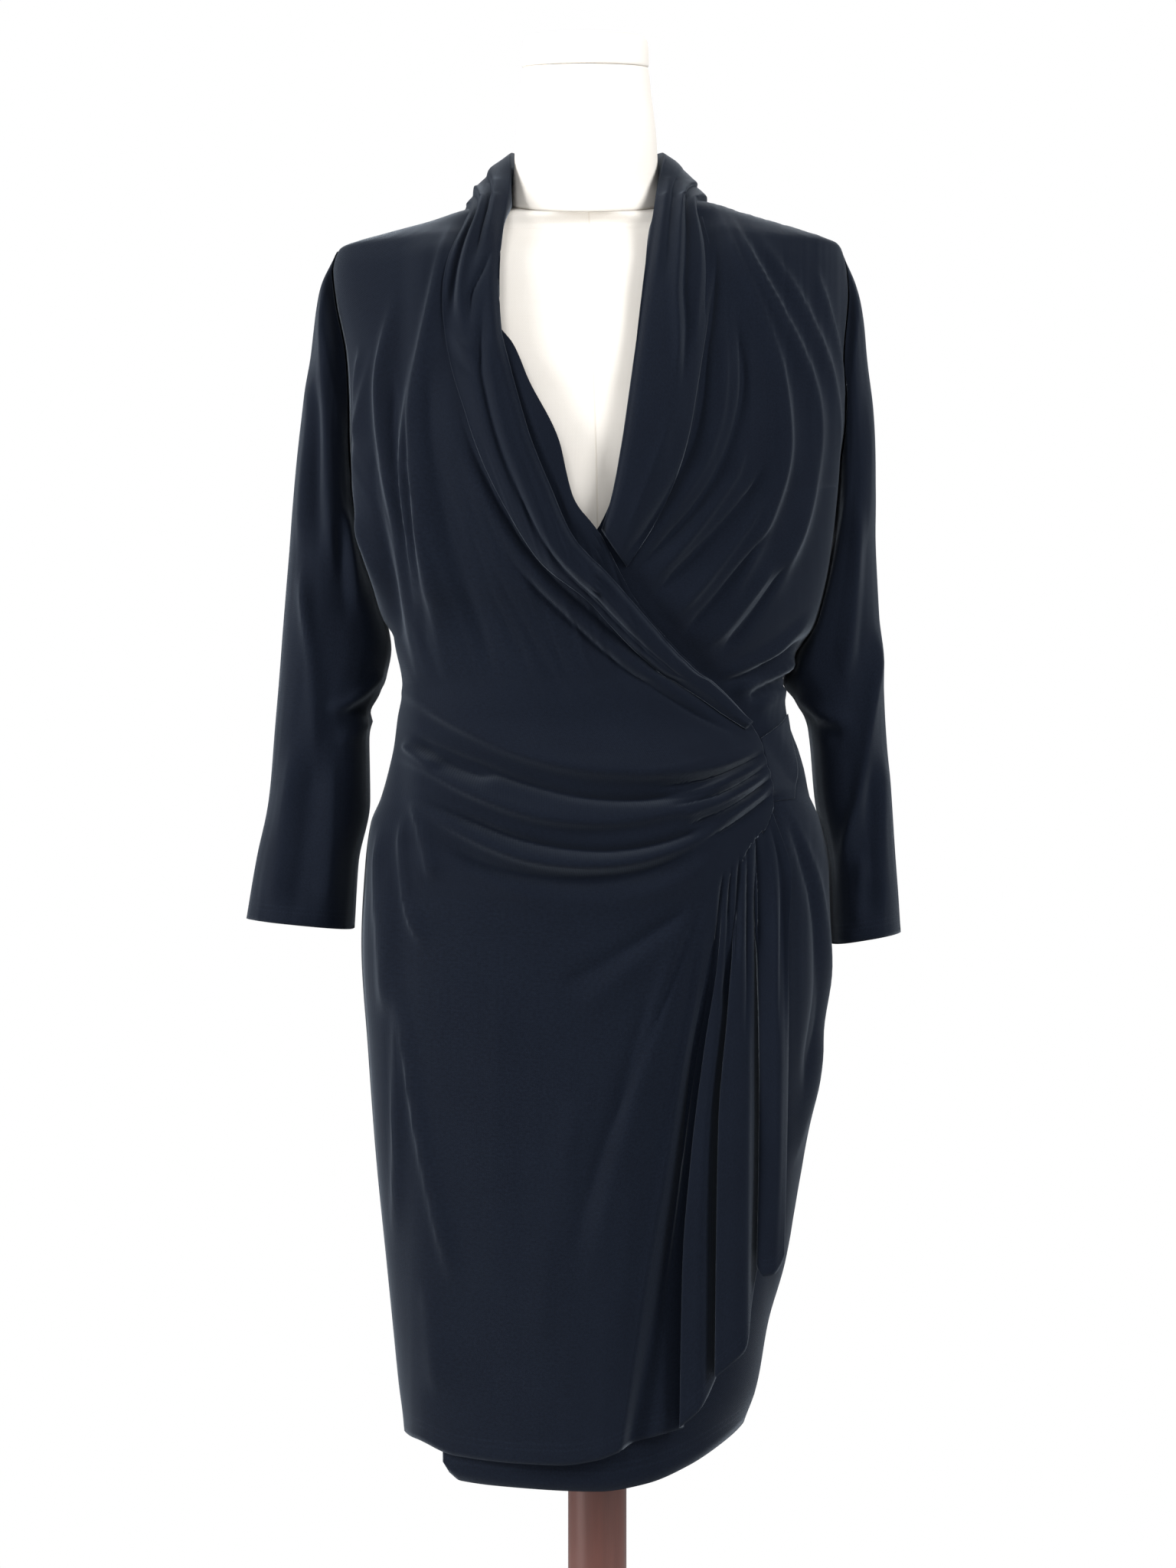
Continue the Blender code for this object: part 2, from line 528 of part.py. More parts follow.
def right_front_points(hip_columns, fine, skirt_rows, waist_rows, side_rows, armhole_rows):
    """hip_columns plain columns, then the cascade's lines with fine columns to each."""
    column = np.linspace(0, len(CASCADE) - 1, (len(CASCADE) - 1) * fine + 1)
    down = np.linspace(0, 1, skirt_rows + 1)
    cascade, heads = cascade_points(down, column)
    share = np.linspace(0, 1, hip_columns + 1)[:-1]

    # plain part of the skirt, from the side seam to the cascade's first line
    knots = [row.v for row in RIGHT_HEM]
    hem_z = curve(knots, [row.z for row in RIGHT_HEM])(share)
    hem_x = curve(knots, [row.x for row in RIGHT_HEM])(share)
    knots = [row.v for row in HIP_ROW]
    hip_z = curve(knots, [row.z for row in HIP_ROW])(share)
    hip_x = curve(knots, [row.x for row in HIP_ROW])(share)
    z = hip_z + (hem_z - hip_z) * down[:, None]
    first_line = cascade[:, 0]
    first = body_angle(first_line[:, 0], first_line[:, 2])
    hip_share = (body_angle(hip_x, hip_z) - RIGHT) / (first[0] - RIGHT)
    hem_share = (body_angle(hem_x, hem_z) - RIGHT) / (first[-1] - RIGHT)
    hip_share[0] = 0
    hem_share[0] = 0
    part = hip_share + (hem_share - hip_share) * down[:, None]
    flat = body(RIGHT + part * (first - RIGHT)[:, None], z)
    under_line = body(first, first_line[:, 2])
    hang = under_line[:, 1] - first_line[:, 1] - right_front_push(under_line)
    push = right_front_push(flat) + hang[:, None] * smooth((part - 0.5) / 0.5)
    skirt = np.concatenate([flat + outward(flat) * push[..., None], cascade], axis=1)[::-1]

    # the drape above, from the hip row to the shoulder
    rows = waist_rows + side_rows + armhole_rows
    v = np.linspace(0, 1, rows + 1)
    hip_row = np.concatenate([flat[0], heads])
    u = np.concatenate([share * SHOULDER_SHARE,
                        SHOULDER_SHARE + (1 - SHOULDER_SHARE) * column / column[-1]])
    shoulder = shoulder_points(RIGHT, u)
    end_rows = max(2, round(rows * 0.08))
    neckline = neck_end(along_rows(RIGHT_NECKLINE, v[:-end_rows] * 0.92 / v[-end_rows - 1]),
                        end_rows, shoulder[-1])
    neckline[0] = hip_row[-1]
    side_z = np.concatenate([np.linspace(HIP_ROW_Z, BLOUSE_Z, waist_rows + 1)[:-1],
                             np.linspace(BLOUSE_Z, UNDERARM_Z, side_rows + 1)[:-1],
                             armhole_heights(armhole_rows)])
    side = side_points(RIGHT, side_z, 1)
    flat = patch(hip_row, shoulder, side, neckline, u, v)[1:]
    drape = flat + outward(flat) * right_front_push(flat)[..., None]
    return np.concatenate([skirt, drape]) + np.array([0, -SEAM / 2, 0])


# ---- back ----------------------------------------------------------------------------------------
BACK_SKIRT_ROWS, BACK_WAIST_ROWS, BACK_COLUMNS = 8, 8, 16
BACK_WAIST_Z = 930.0
BACK_NECK_Z = 1421.0
NECK_SHARE = 0.375        # share of the back's width that the neck takes at the top


def back_push(flat):
    """Soft folds that fall from the shoulder blades and blouse over the waist at the back."""
    x, z = flat[..., 0] - CENTRE_X, flat[..., 2]
    inside = smooth((flat[..., 1] - ridge_at(z) - 1) / (2 * SEAM_FADE))
    fall = np.exp(-((z - 1130) / 90) ** 2)
    push = 3.5 * fall * (1 + np.cos(x / 17 + 0.4 * np.sin(x / 60)))
    push = push + 4.0 * np.exp(-((z - 1040 + 6 * np.sin(x / 40)) / 14) ** 2)
    push = push + 3.5 * np.exp(-((z - 985 - 8 * np.cos(x / 70)) / 15) ** 2)
    push = push + 2.5 * (1 + np.cos(x / 26 + 0.6)) * smooth((860 - z) / 200)
    return push * inside


def back_points(skirt_rows, waist_rows, armhole_rows, columns):
    """Columns run from the wearer's left to the right, so seen from behind they run to the right."""
    u = np.linspace(0, 1, columns + 1)
    side_z = np.concatenate([np.linspace(SIDE_HEM_Z, BACK_WAIST_Z, skirt_rows + 1)[:-1],
                             np.linspace(BACK_WAIST_Z, UNDERARM_Z, waist_rows + 1)[:-1],
                             armhole_heights(armhole_rows)])
    v = np.linspace(0, 1, len(side_z))
    left_z = side_z + 8 * (1 - smooth((side_z - SIDE_HEM_Z) / 300))
    left = side_points(LEFT, left_z, 1)
    right = side_points(RIGHT, side_z, -1)
    turn = LEFT + pi * u
    hem = body(turn, left_z[0] + (side_z[0] - left_z[0]) * u)
    reach = np.abs(2 * u - 1)
    tip_share = np.clip((1 - reach) / (1 - NECK_SHARE), 0, 1)
    seat = np.where(u < 0.5, LEFT, RIGHT)
    top = np.stack([shoulder_points(s, t) for s, t in zip(seat, tip_share)])
    round_neck = body(BACK + (2 * u - 1) / NECK_SHARE * pi / 2,
                      NECK_POINT_Z + (BACK_NECK_Z - NECK_POINT_Z) * (1 - (reach / NECK_SHARE) ** 2))
    top = np.where((reach < NECK_SHARE)[:, None], round_neck, top)
    flat = patch(hem, top, left, right, u, v, EVENING_STEPS)
    return flat + outward(flat) * back_push(flat)[..., None] + np.array([0, SEAM / 2, 0])


# ---- side waist piece ----------------------------------------------------------------------------
TAB_LEFT = [Edge(0, 130, 966), Edge(0.35, 126.5, 980), Edge(0.65, 122.5, 996), Edge(1, 118.5, 1012)]
TAB_AIR = 0.6            # air under the piece's side edge
TAB_RIGHT = [Edge(0, 146, 968), Edge(0.4, 148, 985), Edge(0.8, 142, 1015), Edge(1, 139, 1032)]


def waist_tab_points(rows, columns):
    v = np.linspace(0, 1, rows + 1)
    u = np.linspace(0, 1, columns + 1)[None, :, None]
    flat = settle((1 - u) * along_rows(TAB_LEFT, v)[:, None] + u * along_rows(TAB_RIGHT, v)[:, None])
    away = (1 - u)[..., 0]
    lift = left_front_push(flat) + CLOTH + TAB_AIR + (LAYER - TAB_AIR) * away + GATHER_LIFT * away ** 2
    return flat + outward(flat) * lift[..., None]


# ---- sleeves -------------------------------------------------------------------------------------
# One row for each ring: its outer point and its inner point on the elevation, and how far it reaches
# to the front and to the back. The first ring is the armhole.
Ring = namedtuple("Ring", "v out_x out_z in_x in_z front back")
SLEEVE_RIGHT = [
    Ring(0.10, -209, 1352, -186, 1190, 44, 52), Ring(0.20, -216, 1302, -186, 1165, 45, 54),
    Ring(0.32, -225, 1235, -184, 1142, 43, 56), Ring(0.42, -232, 1160, -173, 1120, 41, 55),
    Ring(0.50, -237, 1100, -160, 1085, 40, 54), Ring(0.57, -240, 1060, -164, 1050, 38, 52),
    Ring(0.64, -243, 1025, -173, 1030, 36, 50), Ring(0.76, -248, 968, -172, 968, 35, 49),
    Ring(0.88, -257, 925, -181, 920, 35, 50), Ring(1.00, -265, 879, -184, 871, 36, 52),
]
SLEEVE_LEFT = [
    Ring(0.10, 197, 1348, 183, 1190, 44, 52), Ring(0.20, 201, 1302, 183, 1165, 45, 54),
    Ring(0.32, 207, 1235, 181, 1138, 44, 57), Ring(0.42, 210, 1165, 172, 1105, 43, 57),
    Ring(0.50, 213, 1105, 158, 1068, 42, 56), Ring(0.57, 215, 1070, 152, 1045, 41, 55),
    Ring(0.64, 217, 1030, 160, 1020, 40, 54), Ring(0.76, 221, 975, 166, 968, 39, 53),
    Ring(0.88, 225, 920, 182, 915, 39, 54), Ring(1.00, 229, 869, 184, 862, 40, 56),
]
SLEEVE_ROWS = 16
SLEEVE_Y = 8.0
SLEEVE_STEP = 0.8        # how far out from the body's cloth the sleeve's first ring stands
SLEEVE_CLEAR = 2.8       # air between a hanging sleeve and the cloth of the body


def sleeve_points(rings, side, rows, armhole_rows):
    """Outer points of a sleeve. side is -1 for the wearer's right. The columns run from the shoulder
    down the front to the underarm and up the back."""
    seat = RIGHT if side < 0 else LEFT
    z = armhole_heights(armhole_rows)
    front_push = right_front_push if side < 0 else left_front_push
    front = side_points(seat, z, -side)
    front = front + outward(front) * front_push(front)[:, None] + np.array([0, -SEAM / 2, 0])
    back = side_points(seat, z, side)
    back = back + outward(back) * back_push(back)[:, None] + np.array([0, SEAM / 2, 0])
    hole = np.concatenate([front[::-1], back[1:-1]])
    hole = hole + outward(hole) * CLOTH
    middle = hole.mean(axis=0)
    to_middle = middle - hole
    to_middle[:, 0] = 0
    to_middle /= np.linalg.norm(to_middle, axis=-1, keepdims=True)
    hole = hole + to_middle * SEAM + np.array([side * SLEEVE_STEP, 0, 0])
    turn = np.linspace(0, 2 * pi, len(hole) + 1)[:-1]
    knots = [0.0] + [ring.v for ring in rings]
    v = np.linspace(0, 1, rows + 1)
    result = np.zeros((rows + 1, len(hole), 3))
    for number, a in enumerate(turn):
        c, s = np.cos(a), np.sin(a)
        places = [(
            (r.out_x + r.in_x) / 2 + (r.out_x - r.in_x) / 2 * c,
            SLEEVE_Y - ((r.front + SLEEVE_Y) if s > 0 else (r.back - SLEEVE_Y)) * s,
            (r.out_z + r.in_z) / 2 + (r.out_z - r.in_z) / 2 * c,
        ) for r in rings]
        line = np.vstack([hole[number], places])
        result[:, number] = np.stack([curve(knots, line[:, k])(v) for k in range(3)], -1)
    flat = settle(result[1:])
    result[1:] = keep_clear(result[1:], front_push(flat) + back_push(flat) + CLOTH + SLEEVE_CLEAR)
    return result


def tube(name, points, flip):
    """A tube of cloth: the grid's last column is joined to its first, and the wall goes inwards."""
    rows, columns = points.shape[:2]
    closed = np.concatenate([points, points[:, :1]], axis=1)
    if flip:
        closed = closed[:, ::-1]
    bm = bmesh.new()
    bmesh.ops.create_grid(bm, x_segments=columns, y_segments=rows - 1, size=1)
    bm.verts.ensure_lookup_table()
    for vertex, place in zip(bm.verts, closed.reshape(-1, 3)):
        vertex.co = place
    bmesh.ops.remove_doubles(bm, verts=bm.verts, dist=0.001)
    bmesh.ops.triangulate(bm, faces=bm.faces)
    item = place_mesh(name, bm, make_material(name, CLOTH_COLOUR, CLOTH_ROUGHNESS))
    wall = item.modifiers.new("Wall", "SOLIDIFY")
    wall.thickness = CLOTH / 1000
    wall.offset = -1
    return item


# ---- collar --------------------------------------------------------------------------------------
# The shawl collar lies along the neckline and stands up round the neck. On the chest a row gives its
# rolled inner edge and its outer edge on the elevation, and how full the roll is.
Chest = namedtuple("Chest", "edge_x edge_z out_x out_z full")
COLLAR_RIGHT = [
    Chest(110, 1025, 106, 1019, 1.0), Chest(88, 1050, 80, 1040, 2.0), Chest(62, 1076, 50, 1062, 2.5),
    Chest(36, 1106, 22, 1088, 3.0), Chest(8, 1138, -10, 1122, 3.5), Chest(-18, 1166, -42, 1148, 4.5),
    Chest(-36, 1205, -64, 1182, 5.5), Chest(-52, 1246, -84, 1222, 6.0), Chest(-64, 1288, -98, 1262, 6.5),
    Chest(-73, 1325, -110, 1300, 7.0), Chest(-74, 1362, -116, 1338, 7.5), Chest(-72, 1398, -114, 1372, 8.0),
]
COLLAR_LEFT = [
    Chest(4, 1171, 22, 1144, 2.0), Chest(12, 1198, 40, 1172, 4.0), Chest(19, 1235, 58, 1208, 5.0),
    Chest(25, 1275, 69, 1246, 6.0), Chest(31, 1320, 77, 1292, 6.5), Chest(36, 1362, 84, 1335, 7.5),
    Chest(41, 1400, 90, 1372, 8.0),
]
# Round the neck a row gives the angle from the side (0) to the centre back (1), the heights of the
# stand's foot, its rolled top and the outer edge, and how far the outer edge reaches.
Round = namedtuple("Round", "turn foot_z top_z out_z out_reach full")
COLLAR_NECK = [
    Round(-0.28, 1412, 1437, 1394, 0.86, 5.0), Round(0.0, 1421, 1457, 1415, 1.0, 5.5),
    Round(0.30, 1425, 1461, 1413, 1.0, 7.0), Round(0.62, 1428, 1463, 1411, 1.0, 7.0),
    Round(1.0, 1430, 1464, 1410, 1.0, 7.0),
]
NECK_MIDDLE = (-8.0, 5.0)
FOOT_RING = (62.0, 63.5)     # half width and half depth of the stand's foot
TOP_RING = (59.5, 63.0)      # of the rolled top
OUT_RING = (97.0, 82.0)      # of the outer edge
COLLAR_ROWS, COLLAR_COLUMNS = 26, 7
COLLAR_AIR = 1.9             # air under the collar where it lies closest


def ring_point(side, turn, ring, scale, z):
    """A point round the neck, turn 0 at the side and 1 at the centre back."""
    angle = turn * pi / 2
    return np.array([NECK_MIDDLE[0] + side * ring[0] * scale * np.cos(angle),
                     NECK_MIDDLE[1] + ring[1] * scale * np.sin(angle), z])


def collar_points(chest, side, rest_on, rows, columns):
    """side is -1 for the wearer's right. Columns run from the foot of the stand to the outer edge."""
    edge = from_drawing([c.edge_x for c in chest], [c.edge_z for c in chest])
    out = from_drawing([c.out_x for c in chest], [c.out_z for c in chest])
    inwards = edge - out
    inwards /= np.linalg.norm(inwards, axis=-1, keepdims=True)
    top = np.array([ring_point(side, r.turn, TOP_RING, 1.0, r.top_z) for r in COLLAR_NECK])
    fall = np.array([ring_point(side, r.turn, OUT_RING, r.out_reach, r.out_z) for r in COLLAR_NECK])
    base = np.array([ring_point(side, r.turn, FOOT_RING, 1.0, r.foot_z) for r in COLLAR_NECK])
    knots = np.append(np.arange(len(chest)), len(chest) + 0.6 + np.arange(len(COLLAR_NECK)) * 1.3)
    v = np.linspace(0, knots[-1], rows + 1)

    def run(first, second):
        values = np.vstack([first, second])
        return np.stack([curve(knots, values[:, k])(v) for k in range(3)], -1)

    def clearance(flat):
        return rest_on(flat) + 1.5 * CLOTH + COLLAR_AIR

    edge, out, foot = run(edge, top), settle(run(out, fall)), run(settle(edge + inwards), base)
    out_up = out + outward(out) * clearance(out)[:, None]
    full = curve(knots, [c.full for c in chest] + [r.full for r in COLLAR_NECK])(v)
    stands = smooth((v - len(chest) + 1.2) / 0.9)[:, None]
    roll = curve([0, 0.14, 0.36, 0.58, 0.82, 1], [0.8, 1.0, 0.5, 0.85, 0.35, 0.0])
    bulge = curve([0, 0.3, 0.65, 1], [0.0, 1.0, 0.8, 0.0])
    strips = []
    for s in np.linspace(0, 1, columns):
        free = edge + (out_up - edge) * s
        flat = settle(free)
        lying = flat + outward(flat) * (clearance(flat) + full * roll(s))[:, None]
        standing = free + outward(free) * (full * bulge(s))[:, None]
        strips.append(lying * (1 - stands) + standing * stands)
    strips = np.stack(strips, 1)
    above_neckline = smooth((strips[..., 2] - BACK_NECK_Z + 4) / 12)
    strips = keep_clear(strips, clearance(settle(strips)) - 100 * above_neckline)
    flat = settle(foot)
    lying = flat + outward(flat) * clearance(flat)[:, None]
    foot = lying * (1 - stands) + foot * stands
    points = np.concatenate([foot[:, None], strips], axis=1)
    points[-1, :, 0] = NECK_MIDDLE[0] + side * (SEAM / 2 + 0.2)
    return points


# ---- dress form ----------------------------------------------------------------------------------
def loft(name, rings, material):
    """A closed solid through rings of points, with a flat fan at each end."""
    bm = bmesh.new()
    loops = [[bm.verts.new(place) for place in ring] for ring in rings]
    for low, high in zip(loops[:-1], loops[1:]):
        for k in range(len(low)):
            n = (k + 1) % len(low)
            bm.faces.new((low[k], low[n], high[n], high[k]))
    bm.faces.new(loops[0][::-1])
    bm.faces.new(loops[-1])
    bmesh.ops.triangulate(bm, faces=bm.faces[-2:])
    bmesh.ops.recalc_face_normals(bm, faces=bm.faces)
    return place_mesh(name, bm, material)


FORM_ROWS, FORM_COLUMNS = 17, 28
SHOULDER_EASE = 4.5      # how close the form's shoulders come to the cloth they carry
SHOULDER_SLIM = 0.86     # depth of the form's shoulders against the cloth's
NECK_SEAM = {"side": 1417.0, "front": 1402.0, "back": 1428.0}
Neck = namedtuple("Neck", "rise half_width half_depth x y")
NECK_RINGS = [
    Neck(0.00, 58.0, 57.0, -8.0, 6.0), Neck(0.18, 55.0, 54.0, -8.5, 4.0), Neck(0.5, 53.0, 52.5, -8.5, 1.0),
    Neck(0.8, 49.0, 50.5, -8.7, -2.0), Neck(1.00, 47.0, 49.0, -9.0, -4.0),
]
CAP_SEAM_Z = 1519.0
CAP_TILT = 0.16          # slope of the neck cap, down towards the front
CAP_RISE = 24.0
LINEN = (0.80, 0.76, 0.69)


def neck_seam_height(turn):
    """Height of the seam round the foot of the neck."""
    ahead = np.cos(turn)
    drop = np.where(ahead > 0, NECK_SEAM["front"], NECK_SEAM["back"]) - NECK_SEAM["side"]
    return NECK_SEAM["side"] + drop * np.abs(ahead)


def neck_ring(half_width, half_depth, x, y, z, turn):
    return np.stack([x + half_width * np.sin(turn), y - half_depth * np.cos(turn), z + 0 * turn], -1)


def build_form():
    linen = make_material("form_linen", LINEN, 0.85)
    wood = make_material("form_wood", (0.17, 0.06, 0.035), 0.35)
    turn = np.linspace(0, 2 * pi, FORM_COLUMNS + 1)[:-1]
    own = np.linspace(POLE_TOP_Z, 1386, FORM_ROWS)
    rings = [form_body(turn, z + 0 * turn) for z in own]
    seam = neck_seam_height(turn)
    foot = neck_ring(58.0, 57.0, -8.0, 6.0, seam, turn)
    for t in (0.25, 0.55, 0.8):
        z = 1390 + (seam - 1390) * t
        carried = body(turn, z + SHOULDER_EASE)
        middle = ridge_at(z)
        carried[:, 1] = middle + (carried[:, 1] - middle) * SHOULDER_SLIM
        carried[:, 2] = z
        pull = smooth((t - 0.4) / 0.6) * 0.8
        rings.append(carried * (1 - pull) + foot * pull)
    rings.append(foot)
    loft("form_torso", rings, linen)

    cap_z = CAP_SEAM_Z - CAP_TILT * 49 * np.cos(turn)
    rings = []
    for row in NECK_RINGS:
        z = seam + SEAM + (cap_z - SEAM - seam) * row.rise
        rings.append(neck_ring(row.half_width, row.half_depth, row.x, row.y, z, turn))
    loft("form_neck", rings, linen)

    rings = []
    for rise, half in ((0.0, 47.4), (0.35, 47.6), (0.7, 46.0), (0.9, 42.0), (1.0, 34.0)):
        scale = half / 47.0
        z = CAP_SEAM_Z + SEAM + CAP_RISE * rise - CAP_TILT * 49 * scale * np.cos(turn)
        rings.append(neck_ring(half, half * 49 / 47, -9.0, -4.0 - rise * 2, z, turn))
    loft("form_neck_cap", rings, linen)

    turn = np.linspace(0, 2 * pi, POLE_SIDES + 1)[:-1]
    rings = [neck_ring(POLE_RADIUS, POLE_RADIUS, 0, 0, z, turn) for z in (BASE_HEIGHT + SEAM, POLE_TOP_Z - SEAM)]
    loft("form_pole", rings, wood)

    turn = np.linspace(0, 2 * pi, BASE_SIDES + 1)[:-1]
    profile = [(BASE_RADIUS - 2, 0), (BASE_RADIUS, 3), (BASE_RADIUS, 14), (BASE_RADIUS - 6, 19),
               (60, 24), (42, BASE_HEIGHT)]
    rings = [neck_ring(radius, radius, 0, 0, z, turn) for radius, z in profile]
    loft("form_base", rings, wood)


for item in list(bpy.data.objects):
    bpy.data.objects.remove(item)

cloth("left_front", left_front_points(LEFT_SKIRT_ROWS, LEFT_WAIST_ROWS, ARMHOLE_ROWS, LEFT_COLUMNS))
cloth("right_front", right_front_points(HIP_COLUMNS, 1, SKIRT_ROWS, WAIST_ROWS, SIDE_ROWS, ARMHOLE_ROWS))
cloth("back", back_points(BACK_SKIRT_ROWS, BACK_WAIST_ROWS, ARMHOLE_ROWS, BACK_COLUMNS))
cloth("waist_tab", waist_tab_points(5, 3))
tube("sleeve_right", sleeve_points(SLEEVE_RIGHT, -1, SLEEVE_ROWS, ARMHOLE_ROWS), True)
tube("sleeve_left", sleeve_points(SLEEVE_LEFT, 1, SLEEVE_ROWS, ARMHOLE_ROWS), False)
cloth("collar_right", collar_points(COLLAR_RIGHT, -1, right_front_push, COLLAR_ROWS, COLLAR_COLUMNS)[:, ::-1], 0)
cloth("collar_left", collar_points(COLLAR_LEFT, 1, left_front_push, COLLAR_ROWS, COLLAR_COLUMNS), 0)
build_form()
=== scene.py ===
"""A draped jersey wrap dress on a limbless linen-covered dress form with a wooden pole and base.

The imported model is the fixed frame: its origin is on the floor under the pole's axis, +Z is up, the
front faces -Y and the wearer's right is at -X. Sizes are in millimetres, and a mesh becomes metres
when it is set. The sections follow the object as it is put together, from the base up to the collar.
"""
from collections import namedtuple
from math import pi, radians

import bmesh
import bpy
import numpy as np
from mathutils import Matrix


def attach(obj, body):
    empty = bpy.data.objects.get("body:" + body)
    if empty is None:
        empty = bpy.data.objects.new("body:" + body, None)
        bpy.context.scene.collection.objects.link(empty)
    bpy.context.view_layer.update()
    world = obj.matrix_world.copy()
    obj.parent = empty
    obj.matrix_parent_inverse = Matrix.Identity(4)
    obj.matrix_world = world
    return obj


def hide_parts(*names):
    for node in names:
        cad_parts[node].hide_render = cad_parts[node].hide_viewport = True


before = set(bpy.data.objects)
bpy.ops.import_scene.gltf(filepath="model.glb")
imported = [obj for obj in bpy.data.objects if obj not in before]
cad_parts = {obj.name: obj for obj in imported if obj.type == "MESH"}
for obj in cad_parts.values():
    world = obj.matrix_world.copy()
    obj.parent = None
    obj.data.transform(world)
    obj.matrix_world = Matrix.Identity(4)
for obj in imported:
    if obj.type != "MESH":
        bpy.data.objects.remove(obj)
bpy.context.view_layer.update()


# ---- the studio ----------------------------------------------------------------------------------
# A white surround, a large soft light at each side that picks out the folds, a weaker one from the
# front and one from behind. The camera stands level with the waist.
EYE_X = -7.0
EYE_AWAY = 2400.0
EYE_HEIGHT = 980.0
LENS = 73.1
SURROUND_GLOW = 0.24     # how strongly the white surround lights the object

camera = bpy.data.objects.new("camera", bpy.data.cameras.new("camera"))
camera.location = (EYE_X / 1000, -EYE_AWAY / 1000, EYE_HEIGHT / 1000)
camera.rotation_euler = (pi / 2, 0, 0)
camera.data.lens = LENS
camera.data.sensor_width = 36
bpy.context.scene.collection.objects.link(camera)
bpy.context.scene.camera = camera
bpy.context.scene.view_settings.view_transform = "Standard"

world = bpy.data.worlds.new("surround")
world.use_nodes = True
world_nodes = world.node_tree.nodes
lit, seen = world_nodes["Background"], world_nodes.new("ShaderNodeBackground")
for background, strength in ((lit, SURROUND_GLOW), (seen, 1.0)):
    background.inputs["Color"].default_value = (1, 1, 1, 1)
    background.inputs["Strength"].default_value = strength
ray = world_nodes.new("ShaderNodeLightPath")
choice = world_nodes.new("ShaderNodeMixShader")
for number, source in enumerate((ray.outputs["Is Camera Ray"], lit.outputs[0], seen.outputs[0])):
    world.node_tree.links.new(source, choice.inputs[number])
world.node_tree.links.new(choice.outputs[0], world_nodes["World Output"].inputs["Surface"])
bpy.context.scene.world = world

Lamp = namedtuple("Lamp", "name x y z wide high watts")
LAMPS = [
    Lamp("left_of_view", -2.3, -0.9, 1.5, 0.7, 2.2, 92),
    Lamp("right_of_view", 2.0, -1.5, 2.2, 0.7, 1.8, 80),
    Lamp("front", -0.8, -2.6, 2.7, 1.0, 1.0, 32),
    Lamp("behind", 0.2, 2.6, 2.8, 1.6, 1.2, 56),
]
for lamp in LAMPS:
    light = bpy.data.lights.new(lamp.name, "AREA")
    light.shape = "RECTANGLE"
    light.size = lamp.wide
    light.size_y = lamp.high
    light.energy = lamp.watts
    holder = bpy.data.objects.new(lamp.name, light)
    holder.location = (lamp.x, lamp.y, lamp.z)
    aim = holder.location.copy()
    aim.z -= 1.0
    holder.rotation_euler = aim.to_track_quat("Z", "Y").to_euler()
    bpy.context.scene.collection.objects.link(holder)


# ---- base and pole -------------------------------------------------------------------------------
# A round turned base and a straight pole of red-brown hardwood, stained and varnished. The pole is
# glued into the base and holds the form from below.
class Value:
    """A number that changes over a surface. Python's operators on it add Math nodes."""

    def __init__(self, tree, socket):
        self.tree = tree
        self.socket = socket

    def math(self, operation, *values):
        node = self.tree.nodes.new("ShaderNodeMath")
        node.operation = operation
        for socket, value in zip(node.inputs, values):
            if isinstance(value, Value):
                self.tree.links.new(value.socket, socket)
            else:
                socket.default_value = value
        return Value(self.tree, node.outputs[0])

    def __add__(self, other):
        return self.math("ADD", self, other)

    __radd__ = __add__

    def __sub__(self, other):
        return self.math("SUBTRACT", self, other)

    def __rsub__(self, other):
        return self.math("SUBTRACT", other, self)

    def __mul__(self, other):
        return self.math("MULTIPLY", self, other)

    __rmul__ = __mul__

    def __truediv__(self, other):
        return self.math("DIVIDE", self, other)

    def __pow__(self, power):
        return self.math("POWER", self, power)

    def __abs__(self):
        return self.math("ABSOLUTE", self)

    def part(self):
        return self.math("FRACT", self)

    def wave(self):
        return self.math("SINE", self) * 0.5 + 0.5

    def under(self, limit):
        return self.math("LESS_THAN", self, limit)

    def at_most(self, limit):
        return self.math("MINIMUM", self, limit)

    def at_least(self, limit):
        return self.math("MAXIMUM", self, limit)


